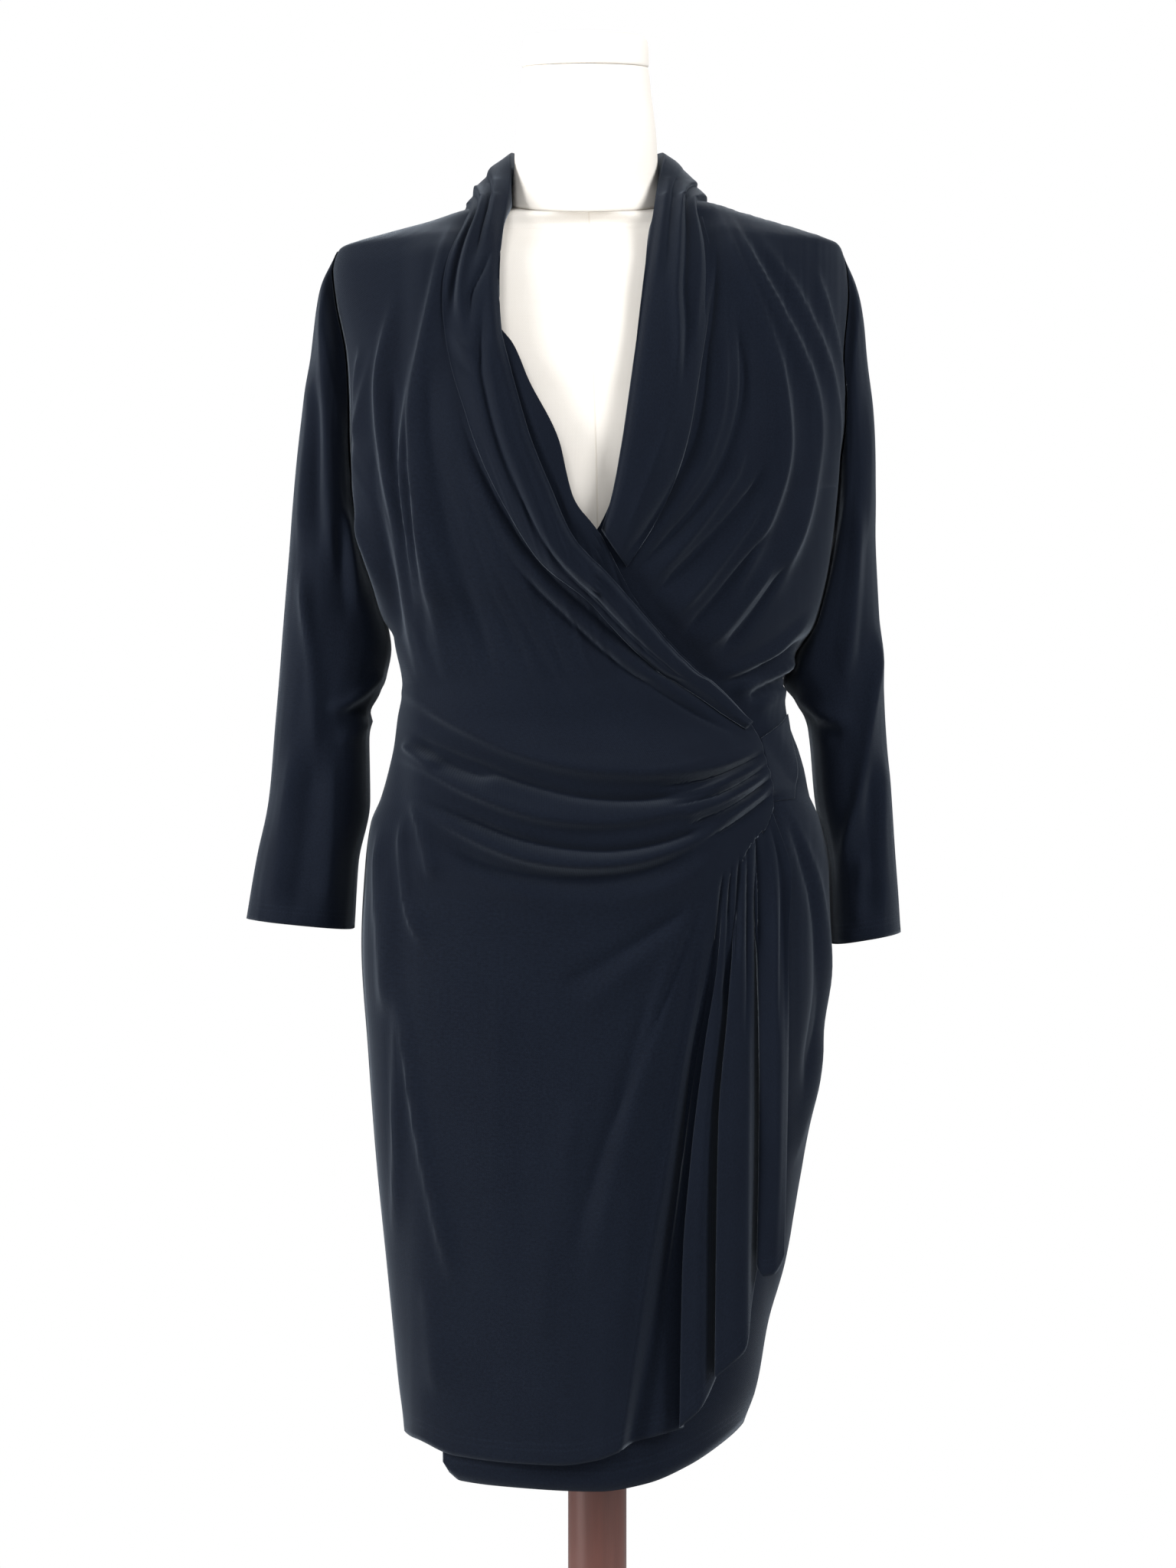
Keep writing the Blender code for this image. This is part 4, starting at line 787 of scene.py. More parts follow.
def shoulder_points(seat, share):
    """The ridge of a shoulder, from its tip at share 0 to the neck at share 1."""
    side = np.sign(np.sin(seat))
    rows = [s for s in DRESS if SHOULDER_Z <= s.z <= NECK_POINT_Z]
    widths = [s.right if side < 0 else s.left for s in rows]
    width = widths[0] + (widths[-1] - widths[0]) * share
    z = np.interp(-width, [-w for w in widths], [s.z for s in rows])
    ridge = np.interp(z, [s.z for s in rows], [s.ridge for s in rows])
    return settle(np.stack([CENTRE_X + side * width, ridge, z], -1))


# A fold's line goes through x from the body's middle plane, and z.
BACK_FOLDS = [
    # the drape from the shoulder blades
    Fold(3.2, 10, 0.2, [(-92, 1372), (-104, 1310), (-112, 1240), (-108, 1170), (-97, 1110),
         (-90, 1062)]),
    Fold(3.6, 9, -0.2, [(-140, 1345), (-150, 1285), (-151, 1215), (-140, 1150), (-126, 1090),
         (-118, 1058)]),
    Fold(2.6, 8, 0, [(-164, 1290), (-168, 1220), (-160, 1160), (-146, 1105)]),
    Fold(2.8, 10, 0, [(-48, 1330), (-55, 1250), (-58, 1170), (-52, 1100), (-46, 1060)]),
    Fold(2.4, 9, 0.2, [(2, 1300), (4, 1220), (-4, 1150), (2, 1080)]),
    Fold(3.0, 10, -0.2, [(50, 1350), (58, 1270), (64, 1190), (58, 1120), (52, 1062)]),
    Fold(3.8, 9, 0.2, [(98, 1376), (112, 1310), (120, 1240), (116, 1170), (104, 1105), (96, 1060)]),
    Fold(3.4, 9, 0, [(142, 1350), (154, 1290), (156, 1220), (148, 1155), (134, 1095), (124, 1060)]),
    Fold(2.6, 8, 0, [(168, 1290), (171, 1225), (164, 1160), (152, 1105)]),
    Fold(-2.4, 8, 0, [(-126, 1330), (-130, 1260), (-126, 1190), (-112, 1110)]),
    Fold(-2.2, 8, 0, [(80, 1320), (90, 1250), (90, 1180), (80, 1100)]),
    # the blouse and the waist's swags
    Fold(4.6, 11, 0.5, [(-140, 1050), (-100, 1042), (-50, 1036), (0, 1039), (60, 1035), (110, 1043),
         (140, 1052)]),
    Fold(-3.2, 7, 0, [(-136, 1030), (-90, 1018), (-30, 1014), (30, 1017), (90, 1014), (132, 1028)]),
    Fold(4.4, 9, 0.4, [(-146, 1004), (-110, 996), (-60, 994), (-10, 1000)]),
    Fold(4.2, 9, 0.4, [(-30, 990), (20, 994), (80, 992), (120, 1000), (146, 1008)]),
    Fold(-3.0, 7, 0, [(-140, 982), (-90, 972), (-30, 976), (40, 971), (100, 976), (140, 986)]),
    Fold(3.8, 10, 0.3, [(-156, 964), (-110, 954), (-50, 950), (10, 953), (70, 949), (120, 956),
         (156, 966)]),
    Fold(2.2, 12, 0, [(-120, 930), (-50, 920), (20, 924), (100, 918)]),
    # the skirt, from the seat down
    Fold(2.8, 13, 0.2, [(-128, 900), (-134, 800), (-128, 690), (-120, 580), (-118, 510)]),
    Fold(2.4, 13, 0, [(-72, 880), (-80, 780), (-74, 660), (-78, 540)]),
    Fold(2.2, 14, -0.2, [(-14, 850), (-20, 740), (-12, 620), (-16, 510)]),
    Fold(2.6, 13, 0, [(44, 870), (52, 760), (46, 640), (50, 520)]),
    Fold(3.0, 12, 0.2, [(102, 895), (112, 790), (106, 670), (98, 560), (94, 510)]),
    Fold(2.4, 9, 0, [(148, 900), (152, 800), (142, 700), (130, 610)]),
    Fold(2.2, 8, 0, [(-156, 900), (-158, 800), (-150, 690), (-140, 600)]),
]
BACK_WAIST_Z = 930.0
BACK_NECK_Z = 1421.0
NECK_SHARE = 0.375       # share of the back's width that the neck takes at the top
BACK_LOFT = 1.0          # how full the back stands between its folds
BACK_ROWS, BACK_COLUMNS = 200, 150


def back_push(flat):
    """How far the back lies out from the body, folds and all."""
    x, z = flat[..., 0] - CENTRE_X, flat[..., 2]
    inside = smooth((flat[..., 1] - ridge_at(z) - 1) / (1.5 * SEAM_FADE))
    push = BACK_LOFT + fold_push(BACK_FOLDS, x, z)
    push = push + 0.5 * streaks(x, z / 400, 26, 0.7) * smooth((1400 - z) / 120)
    return held(push, 2.0) * inside


def back_points(skirt_rows, waist_rows, armhole_rows, columns):
    """Columns run from the wearer's left to the right, so seen from behind they run to the right."""
    u = np.linspace(0, 1, columns + 1)
    side_z = np.concatenate([np.linspace(SIDE_HEM_Z, BACK_WAIST_Z, skirt_rows + 1)[:-1],
                             np.linspace(BACK_WAIST_Z, UNDERARM_Z, waist_rows + 1)[:-1],
                             armhole_heights(armhole_rows)])
    v = np.linspace(0, 1, len(side_z))
    left_z = side_z + 8 * (1 - smooth((side_z - SIDE_HEM_Z) / 300))
    left = side_points(LEFT, left_z, 1)
    right = side_points(RIGHT, side_z, -1)
    turn = LEFT + pi * u
    hem = body(turn, left_z[0] + (side_z[0] - left_z[0]) * u)
    reach = np.abs(2 * u - 1)
    tip_share = np.clip((1 - reach) / (1 - NECK_SHARE), 0, 1)
    seat = np.where(u < 0.5, LEFT, RIGHT)
    top = np.stack([shoulder_points(s, t) for s, t in zip(seat, tip_share)])
    round_neck = body(BACK + (2 * u - 1) / NECK_SHARE * pi / 2,
                      NECK_POINT_Z + (BACK_NECK_Z - NECK_POINT_Z) * (1 - (reach / NECK_SHARE) ** 2))
    top = np.where((reach < NECK_SHARE)[:, None], round_neck, top)
    flat = patch(hem, top, left, right, u, v, EVENING_STEPS)
    flat = settle(finer(flat, BACK_ROWS, BACK_COLUMNS))
    return flat + outward(flat) * back_push(flat)[..., None] + np.array([0, SEAM / 2, 0])


def cloth_piece(name, points, material, wall_side=1.0, wrap=False):
    """A panel of jersey that stands for its CAD node."""
    item = grid_piece(name, points, wrap)
    wall = item.modifiers.new("Wall", "SOLIDIFY")
    wall.thickness = WALL / 1000
    wall.offset = wall_side
    return finish_piece(item, material, "jersey", name)


back_grid = back_points(skirt_rows=8, waist_rows=8, armhole_rows=9, columns=16)
back = cloth_piece("back", back_grid, hemmed_jersey)


# ---- left front ----------------------------------------------------------------------------------
# The left front lies underneath. It is bodice and skirt in one, shows in the neckline and at the left
# hip, and its free edge has a rounded lower corner that shows below the right front's hem.
LEFT_WAIST_Z = 1005.0
FREE_EDGE_X = -113.0
CROSS_Z = 1172.0         # where the two fronts cross on the chest
LEFT_LOFT = 3.0          # how full the left front stands where it shows
# An edge's rows give a share of its length and a place on the front elevation.
Edge = namedtuple("Edge", "v x z")
# Its neckline edge, from where it lies hidden at the right waist, over the V, to the collarbone.
LEFT_NECKLINE = [
    Edge(0.00, -124, 1000), Edge(0.20, -84, 1060), Edge(0.36, -42, 1118), Edge(0.48, 0, 1172),
    Edge(0.56, 12, 1200), Edge(0.66, 22, 1250), Edge(0.76, 32, 1315), Edge(0.84, 40, 1372),
    Edge(0.90, 45, 1398),
]
# Its hem, from the rounded lower corner to the side seam.
LEFT_HEM = [
    Edge(0.00, -108, 476), Edge(0.03, -100, 471), Edge(0.20, -60, 469), Edge(0.45, 0, 467),
    Edge(0.60, 35, 472), Edge(0.75, 66, 483), Edge(0.88, 92, 496), Edge(1.00, 109, 505),
]

LEFT_FRONT_FOLDS = [
    # from the shoulder over the bust, ridges and then the troughs beside them
    Fold(7.0, 6.7, -0.35, [(80, 1422), (92, 1400), (104, 1368), (116, 1342), (128, 1312), (136, 1284),
         (139, 1250), (138, 1225), (131, 1198), (120, 1168), (105, 1132), (88, 1100)]),
    Fold(7.5, 6.7, -0.35, [(88, 1418), (104, 1393), (118, 1363), (134, 1333), (148, 1305), (158, 1277),
         (161, 1246), (157, 1212), (150, 1178), (136, 1140), (120, 1106)]),
    Fold(6.0, 6.2, -0.35, [(112, 1402), (130, 1375), (147, 1348), (161, 1316), (170, 1285), (173, 1250),
         (172, 1215), (169, 1174), (163, 1130), (156, 1096), (149, 1078)]),
    Fold(4.0, 4.5, -0.5, [(160, 1372), (168, 1345), (176, 1310), (180, 1270), (180, 1225)]),
    Fold(-5.8, 3.2, 0, [(90, 1385), (88, 1353), (84, 1326), (80, 1298), (78, 1268), (72, 1238),
         (61, 1212), (46, 1186), (27, 1160), (14, 1146)]),
    Fold(-5.2, 3, 0, [(102, 1335), (108, 1305), (109, 1275), (103, 1247), (92, 1218), (75, 1190),
         (56, 1168), (36, 1148), (22, 1136)]),
    Fold(3.2, 6, -0.4, [(94, 1330), (96, 1290), (91, 1252), (80, 1222), (62, 1194), (42, 1168),
         (26, 1150)]),
    Fold(-4.5, 3, 0, [(124, 1222), (114, 1200), (97, 1180), (74, 1155), (54, 1134), (38, 1118)]),
    Fold(3.2, 5, -0.4, [(112, 1240), (104, 1214), (86, 1188), (66, 1162), (46, 1140), (36, 1130)]),
    Fold(-4.5, 3, 0, [(128, 1178), (114, 1156), (95, 1130), (76, 1106), (62, 1092)]),
    Fold(3.5, 5, -0.4, [(122, 1196), (106, 1168), (86, 1140), (66, 1116), (54, 1104)]),
    Fold(-4.0, 3, 0, [(140, 1150), (124, 1122), (106, 1096), (90, 1080)]),
    Fold(3.5, 5, -0.4, [(132, 1150), (114, 1122), (96, 1098), (80, 1084)]),
    # gathered towards the left waist
    Fold(5.5, 5, 0.5, [(158, 1112), (146, 1098), (128, 1082), (108, 1070), (90, 1060)]),
    Fold(-5.2, 3.2, 0, [(156, 1096), (138, 1080), (114, 1066), (90, 1054)]),
    Fold(5.5, 4.5, 0.5, [(148, 1080), (130, 1066), (112, 1056), (98, 1049)]),
    Fold(-4.2, 3, 0, [(142, 1066), (122, 1052), (108, 1044)]),
    Fold(3.8, 4, 0.4, [(140, 1052), (126, 1044), (114, 1036)]),
    # at the left hip, beside the cascade
    Fold(-5.2, 3.4, 0, [(134, 961), (147, 939), (156, 910), (161, 883), (163, 850), (164, 817),
         (157, 776), (148, 732)]),
    Fold(3.4, 4.5, -0.4, [(139, 962), (152, 937), (162, 908), (167, 880), (170, 850), (170, 817),
         (164, 776), (155, 732), (146, 700)]),
    Fold(1.8, 4, -0.4, [(166, 800), (160, 760), (150, 720), (143, 690)]),
]


def left_front_push(flat):
    """Folds of the left front. They die out where the right front covers them."""
    shown_x, shown_z = drawn(flat)
    below_wrap = CROSS_Z - 1.33 * np.maximum(shown_x, 0) - 60 * (shown_x < 0) - shown_z
    at_hip = smooth((shown_x - 128) / 12) * smooth((985 - shown_z) / 30)
    shown = np.maximum(1 - smooth((below_wrap + 22) / 24), at_hip)
    push = LEFT_LOFT + fold_push(LEFT_FRONT_FOLDS, shown_x, shown_z)
    push = push + 0.22 * streaks(shown_x, shown_z / 400, 17, 2.0)
    return np.maximum(held(push, 0.6), 0) * shown * clear_of_seams(flat)


def neckline_points(table, v, neck_point):
    """A neckline drawn up to the collarbone, with a last stretch to the neck point."""
    drawn_share = table[-1].v
    rows = round((len(v) - 1) * (1 - drawn_share))
    edge = along_rows(table, v[:-rows] * drawn_share / v[-rows - 1])
    share = np.linspace(0, 1, rows + 1)[1:, None]
    return np.vstack([edge, settle(edge[-1] + (neck_point - edge[-1]) * share)])


def left_front_points(skirt_rows, waist_rows, armhole_rows, columns):
    """Columns run from the free edge and the neckline to the side seam and the armhole."""
    u = np.linspace(0, 1, columns + 1)
    v = np.linspace(0, 1, waist_rows + armhole_rows + 1)
    shoulder = shoulder_points(LEFT, 1 - u)
    neckline = neckline_points(LEFT_NECKLINE, v, shoulder[0])
    waist_z = LEFT_WAIST_Z + (UNDERARM_Z - LEFT_WAIST_Z) * np.linspace(0, 1, waist_rows + 1)
    side_z = np.append(waist_z[:-1], armhole_heights(armhole_rows))
    side = side_points(LEFT, side_z, -1)
    start = body_angle(neckline[0, 0], neckline[0, 2])
    angle = start + (LEFT - start) * u
    waist = body(angle, neckline[0, 2] + (LEFT_WAIST_Z - neckline[0, 2]) * u)
    waist[0] = neckline[0]
    bodice = patch(waist, shoulder, neckline, side, u, v)

    hem_z = through(LEFT_HEM, "z")(u)
    hem_angle = body_angle(through(LEFT_HEM, "x")(u), hem_z)
    hem_angle[-1] = LEFT
    down = np.linspace(0, 1, skirt_rows + 1)[:-1, None]
    z = hem_z + (waist[:, 2] - hem_z) * down
    free = body_angle(FREE_EDGE_X + 0 * z[:, 0], z[:, 0])
    free[0] = hem_angle[0]
    turn = hem_angle + (angle - hem_angle) * down
    turn = turn + (free - turn[:, 0])[:, None] * (1 - u) ** 2 * (1 - down ** 3)
    flat = np.concatenate([body(turn, z), bodice])
    push = left_front_push(flat)
    return flat + outward(flat) * push[..., None] + np.array([0, -SEAM / 2, 0])


left_grid = left_front_points(skirt_rows=72, waist_rows=58, armhole_rows=56, columns=200)
left_front = cloth_piece("left_front", left_grid, hemmed_jersey)


# ---- right front ---------------------------------------------------------------------------------
# The right front lies on top. It is gathered into the side at the left waist, which draws it into
# swags over the stomach, and its spare width hangs below the gathers as a cascade of pleats.
HIP_ROW_Z = 900.0        # where the cascade's pleats begin to hang
# The cascade, one row for each line of cloth from the hip row down, towards the free edge. Head is
# where the line starts, x its place at four heights below the head, depth how far it hangs in front
# of the axis, and hem_z where it ends. Where x turns back, the cloth is folded behind a pleat.
Thread = namedtuple("Thread", "name head_x head_z x15 x30 x50 x70 x_hem depth30 depth60 depth_hem hem_z")
CASCADE = [
    Thread("shelf", 78.0, 897, 71.0, 60.0, 47.0, 33.0, 16.0, 106.0, 109.0, 103.0, 499),
    Thread("valley", 84.0, 904, 80.0, 70.0, 60.5, 48.0, 25.0, 95.5, 95.5, 93.5, 503),
    Thread("rise", 87.0, 907, 83.5, 74.0, 63.5, 54.0, 41.0, 98.0, 99.0, 96.5, 508),
    Thread("tuck_a", 89.0, 909, 87.6, 78.9, 69.4, 64.0, 62.5, 98.5, 96.5, 91.5, 514),
    Thread("edge_a", 91.5, 911, 87.3, 78.0, 68.0, 61.7, 59.5, 106.0, 110.5, 104.0, 516),
    Thread("face_a", 95.0, 915, 91.0, 84.0, 76.5, 73.0, 73.0, 105.5, 110.5, 104.0, 528),
    Thread("tuck_b", 99.0, 920, 98.9, 94.8, 89.5, 88.5, 86.5, 95.5, 95.0, 91.0, 553),
    Thread("edge_b", 102.0, 923, 98.5, 94.0, 87.5, 86.0, 85.0, 106.0, 112.5, 107.0, 553),
    Thread("face_b", 105.0, 929, 103.5, 101.0, 97.5, 96.5, 96.0, 105.0, 112.0, 107.0, 562),
    Thread("side_b", 108.0, 935, 108.2, 108.0, 107.5, 107.0, 107.0, 102.0, 109.0, 104.0, 574),
    Thread("fall_b", 110.0, 937, 110.8, 111.0, 111.0, 110.8, 110.5, 98.0, 103.0, 98.0, 604),
    Thread("tuck_c", 112.0, 940, 113.5, 115.5, 117.5, 118.0, 117.5, 89.5, 91.0, 91.0, 640),
    Thread("edge_c", 115.0, 943, 115.0, 116.5, 117.3, 117.0, 115.5, 96.5, 103.0, 103.0, 632),
    Thread("face_c", 118.0, 946, 119.0, 121.3, 122.0, 122.0, 119.5, 98.0, 105.0, 104.5, 625),
    Thread("crest_c", 120.0, 951, 127.5, 129.8, 130.3, 129.8, 126.5, 98.5, 105.0, 103.0, 626),
    Thread("hollow_c", 121.5, 956, 135.0, 135.3, 135.0, 134.0, 131.0, 91.5, 100.0, 100.0, 631),
    Thread("free_edge", 122.5, 961, 141.0, 138.5, 137.5, 136.5, 134.5, 91.0, 95.0, 97.0, 638),
]
RIGHT_HEM = [
    Edge(0.00, -145, 497), Edge(0.10, -130, 497), Edge(0.22, -104, 490), Edge(0.45, -60, 488),
    Edge(0.65, -30, 488), Edge(0.85, -2, 492), Edge(1.00, 16, 499),
]
HIP_ROW = [Edge(0.0, -174, 900), Edge(0.4, -70, 897), Edge(0.75, 20, 893), Edge(1.0, 78, 897)]
# From the foot of the gathers, up the gather seam and the wrap edge, over the V, to the collarbone.
RIGHT_NECKLINE = [
    Edge(0.00, 128, 960), Edge(0.12, 126, 977), Edge(0.24, 121, 994), Edge(0.36, 117, 1010),
    Edge(0.42, 111, 1023), Edge(0.47, 90, 1050), Edge(0.52, 60, 1082), Edge(0.57, 30, 1118),
    Edge(0.63, 0, 1172), Edge(0.67, -18, 1196), Edge(0.72, -29, 1240), Edge(0.77, -50, 1280),
    Edge(0.81, -62, 1308), Edge(0.84, -80, 1335), Edge(0.88, -82, 1375), Edge(0.92, -80, 1400),
]
BLOUSE_Z = 1055.0        # where the side seam leaves the swags and starts up the bodice
SHOULDER_SHARE = 0.55    # share of the shoulder seam that the plain columns reach
GATHER_LIFT = 3.5        # how far the gathers stand up where they are sewn in
SEWN_X, SEWN_Z, SEWN_REACH = 118, 990, 28        # where they are
BAND_Z, BAND_HALF = 975, 60      # middle and half height of the gathered band
WAIST_EASE = 4.5         # how far the cloth bridges the hollow of the waist
HOLLOW_Z, HOLLOW_HALF = 1060, 34     # middle and half height of that hollow
DEEPEST = 3.6            # how deep the right front's troughs may go
RIGHT_FRONT_FOLDS = [
    # from the shoulder over the bust, ridges and then the troughs between them
    Fold(6.5, 6.5, 0.38, [(-107, 1411), (-114, 1385), (-121, 1344), (-126, 1318), (-133, 1288),
         (-137, 1255), (-136, 1222), (-132, 1196), (-128, 1165), (-120, 1130), (-114, 1098),
         (-108, 1070), (-100, 1044)]),
    Fold(5.0, 5.5, 0.38, [(-134, 1305), (-139, 1281), (-143, 1250), (-145, 1219), (-142, 1188),
         (-138, 1160), (-131, 1126), (-125, 1092), (-120, 1056)]),
    Fold(5.8, 6, 0.38, [(-149, 1356), (-157, 1329), (-163, 1290), (-161, 1240), (-156, 1205),
         (-150, 1174), (-143, 1136), (-136, 1108), (-129, 1080), (-125, 1052)]),
    Fold(6.5, 6.5, 0.38, [(-168, 1310), (-175, 1262), (-179, 1225), (-176, 1190), (-164, 1150),
         (-151, 1110), (-141, 1071), (-138, 1048)]),
    Fold(3.8, 4, 0.5, [(-178, 1310), (-180, 1265), (-176, 1235)]),
    Fold(4.8, 5, 0.38, [(-174, 1190), (-171, 1160), (-160, 1125), (-149, 1092), (-144, 1066)]),
    Fold(-4.3, 3, 0, [(-139, 1270), (-140, 1220), (-134, 1160), (-127, 1110), (-119, 1075)]),
    Fold(-4.3, 3, 0, [(-152, 1290), (-152, 1235), (-147, 1190), (-138, 1140), (-131, 1095)]),
    Fold(-3.8, 3, 0, [(-167, 1240), (-165, 1195), (-156, 1155), (-146, 1115), (-137, 1075)]),
    Fold(-5.0, 7, 0.3, [(-122, 1310), (-125, 1262), (-121, 1225), (-112, 1180), (-98, 1130),
         (-84, 1085), (-72, 1050)]),
    # along the wrap edge, below the collar
    Fold(4.1, 7, 0, [(-72, 1322), (-60, 1288), (-45, 1248), (-30, 1208), (-14, 1178), (4, 1154)]),
    Fold(-3.6, 3, 0, [(-104, 1268), (-94, 1236), (-80, 1204), (-62, 1170), (-40, 1142), (-14, 1116),
         (18, 1088), (50, 1062), (84, 1038), (106, 1020)]),
    Fold(3.1, 5, -0.3, [(-102, 1240), (-88, 1204), (-66, 1166), (-42, 1136), (-14, 1108), (20, 1079),
         (54, 1053), (88, 1030)]),
    Fold(-3.8, 3, 0, [(-70, 1158), (-46, 1128), (-18, 1100), (16, 1071), (52, 1044), (88, 1022),
         (108, 1012)]),
    Fold(-1.9, 4, 0, [(-96, 1180), (-84, 1140), (-68, 1100), (-48, 1060)]),
    Fold(-1.7, 3.5, 0, [(-78, 1150), (-60, 1110), (-38, 1070), (-16, 1036)]),
    Fold(-1.4, 4, 0, [(-52, 1120), (-34, 1084), (-10, 1046), (10, 1020)]),
    # swags from the right side to the gathers
    Fold(9.6, 13, 0.6, [(-152, 1052), (-131, 1043), (-110, 1029), (-88, 1016), (-60, 1002), (-20, 990),
         (20, 986), (60, 990), (100, 1003), (125, 1010)]),
    Fold(-7.2, 4.5, 0, [(-140, 1020), (-124, 1010), (-100, 998), (-73, 987), (-45, 977), (-10, 968),
         (30, 966), (64, 971), (92, 983), (113, 998)]),
    Fold(-5.5, 5, 0, [(-134, 1016), (-118, 1000), (-96, 988), (-72, 982)]),
    Fold(4.3, 3.6, 0.4, [(-146, 1010), (-130, 1000), (-114, 988)]),
    Fold(7.0, 7, 0.5, [(-156, 1002), (-132, 994), (-113, 983), (-85, 968), (-50, 955), (-10, 950),
         (30, 952), (65, 960), (96, 976), (120, 993)]),
    Fold(-6.6, 4, 0, [(-136, 972), (-112, 960), (-88, 950), (-60, 938), (-25, 930), (10, 928),
         (44, 933), (72, 943), (100, 957), (119, 970)]),
    Fold(7.4, 6, 0.4, [(-140, 966), (-112, 950), (-82, 934), (-50, 922), (-10, 918), (25, 920),
         (60, 931), (92, 949), (118, 967)]),
    Fold(-6.5, 5, 0, [(-116, 936), (-82, 917), (-45, 909), (-8, 907), (30, 911), (58, 922),
         (84, 940)]),
    Fold(3.7, 11, 0, [(-100, 918), (-60, 897), (-15, 890), (30, 894), (70, 912), (100, 938)]),
    # the gathers themselves
    Fold(4.1, 3, 0.3, [(20, 983), (52, 985), (84, 990), (104, 998), (122, 1008)]),
    Fold(4.1, 2.6, 0.3, [(46, 968), (80, 974), (103, 985), (124, 998)]),
    Fold(4.1, 2.6, 0.3, [(56, 953), (86, 963), (108, 976), (126, 989)]),
    Fold(3.7, 2.6, 0.3, [(66, 940), (93, 952), (113, 966), (128, 981)]),
    Fold(-4.8, 2.2, 0, [(40, 976), (78, 982), (102, 991), (122, 1003)]),
    Fold(-4.8, 2.2, 0, [(52, 961), (86, 969), (108, 981), (124, 994)]),
    Fold(-4.8, 2.2, 0, [(62, 947), (92, 958), (112, 971), (127, 985)]),
    Fold(-4.3, 2.2, 0, [(76, 936), (98, 948), (116, 961), (128, 973)]),
    # down the right hip
    Fold(4.8, 4.5, 0.4, [(-163, 955), (-165, 900), (-161, 850), (-158, 800)]),
    Fold(5.5, 3.6, 0.4, [(-146, 958), (-147, 920), (-141, 885), (-133, 866), (-124, 856)]),
    Fold(4.1, 3.4, 0.4, [(-138, 966), (-130, 948), (-125, 925), (-121, 903)]),
    Fold(4.6, 3.6, 0.4, [(-152, 830), (-151, 765), (-150, 690), (-152, 630)]),
    Fold(5.8, 4.2, 0.4, [(-150, 836), (-144, 792), (-137, 745), (-128, 695), (-117, 645),
         (-105, 598)]),
    Fold(2.9, 6, 0, [(-155, 930), (-156, 870), (-152, 800)]),
    Fold(2.9, 7, 0.3, [(-126, 610), (-122, 560), (-118, 515)]),
    # the skirt, from the foot of the gathers
    Fold(-3.8, 4, 0, [(74, 892), (40, 868), (6, 846), (-30, 826)]),
    Fold(2.9, 9, 0.5, [(70, 876), (38, 854), (8, 830), (-20, 806)]),
    Fold(-6.2, 6, -0.3, [(84, 904), (76, 860), (68, 810), (58, 760), (48, 700), (36, 630), (26, 560),
         (20, 510)]),
    Fold(3.6, 10, 0.3, [(66, 880), (50, 830), (36, 780), (20, 720), (2, 650), (-8, 590)]),
    Fold(-3.1, 5, 0, [(44, 840), (30, 790), (14, 735), (-6, 670), (-20, 620)]),
    Fold(2.2, 14, 0, [(-10, 760), (-26, 690), (-36, 620), (-44, 540)]),
    Fold(1.9, 18, 0, [(-70, 840), (-78, 740), (-74, 640), (-80, 540)]),
]
# Fine pleats of the cascade, narrow just under the gathers and dying out lower down.
CASCADE_FOLDS = [
    Fold(-3.0, 2.4, 0, [(82, 902), (76, 884), (66, 860), (56, 832), (42, 795), (26, 756), (8, 712)]),
    Fold(-2.7, 1.8, 0, [(95, 916), (92, 890), (89, 862), (86, 838)]),
    Fold(-2.7, 1.7, 0, [(101, 921), (99, 895), (98, 866), (96, 836), (95, 805)]),
    Fold(1.1, 1.7, 0, [(104, 925), (102, 896), (101, 866), (100, 830)]),
    Fold(-2.7, 1.7, 0, [(107, 929), (106, 900), (105, 870), (104, 846)]),
    Fold(1.1, 1.7, 0, [(110, 933), (109, 902), (109, 868), (108, 836)]),
    Fold(-3.0, 1.8, 0, [(113, 938), (113, 905), (113, 868), (113, 826), (112, 780)]),
    Fold(-2.4, 1.7, 0, [(119, 945), (121, 915), (122, 880), (122, 850)]),
    Fold(1.1, 2.2, 0, [(125, 953), (131, 925), (134, 890), (135, 840), (135, 760), (134, 690)]),
    Fold(-2.2, 2.0, 0, [(127, 956), (136, 930), (139, 900), (138, 860), (137, 780)]),
]


def right_front_push(flat):
    """How far the right front lies out from the body, folds and all, and always clear of the left."""
    x, height = drawn(flat)
    covered = smooth((x + 150) / 24) * smooth((1404 - height) / 30)
    rest = covered * (CLOTH + LAYER + left_front_push(flat))
    folds = fold_push(RIGHT_FRONT_FOLDS, x, height) + GATHER_LIFT * (
        covered * np.exp(-((height - BAND_Z) / BAND_HALF) ** 2)
        + np.exp(-((x - SEWN_X) ** 2 + (height - SEWN_Z) ** 2) / SEWN_REACH ** 2))
    folds = folds + WAIST_EASE * np.exp(-((height - HOLLOW_Z) / HOLLOW_HALF) ** 2)
    below_bust = smooth((height - 1030) / 60) * smooth((1270 - height) / 90)
    folds = folds + below_bust * 0.40 * streaks(x + 0.35 * (height - 1150), height / 400, 13, 0.4)
    folds = folds + 0.18 * streaks(x, height / 300, 23, 1.9) * smooth((930 - height) / 80)
    return (rest + np.maximum(held(folds, DEEPEST), -rest)) * clear_of_seams(flat)


def across_lines(rows, column):
    """Spreads values given at each cascade line over the columns, row by row."""
    order = np.arange(len(CASCADE))
    return np.stack([curve(order, row)(column) for row in rows])


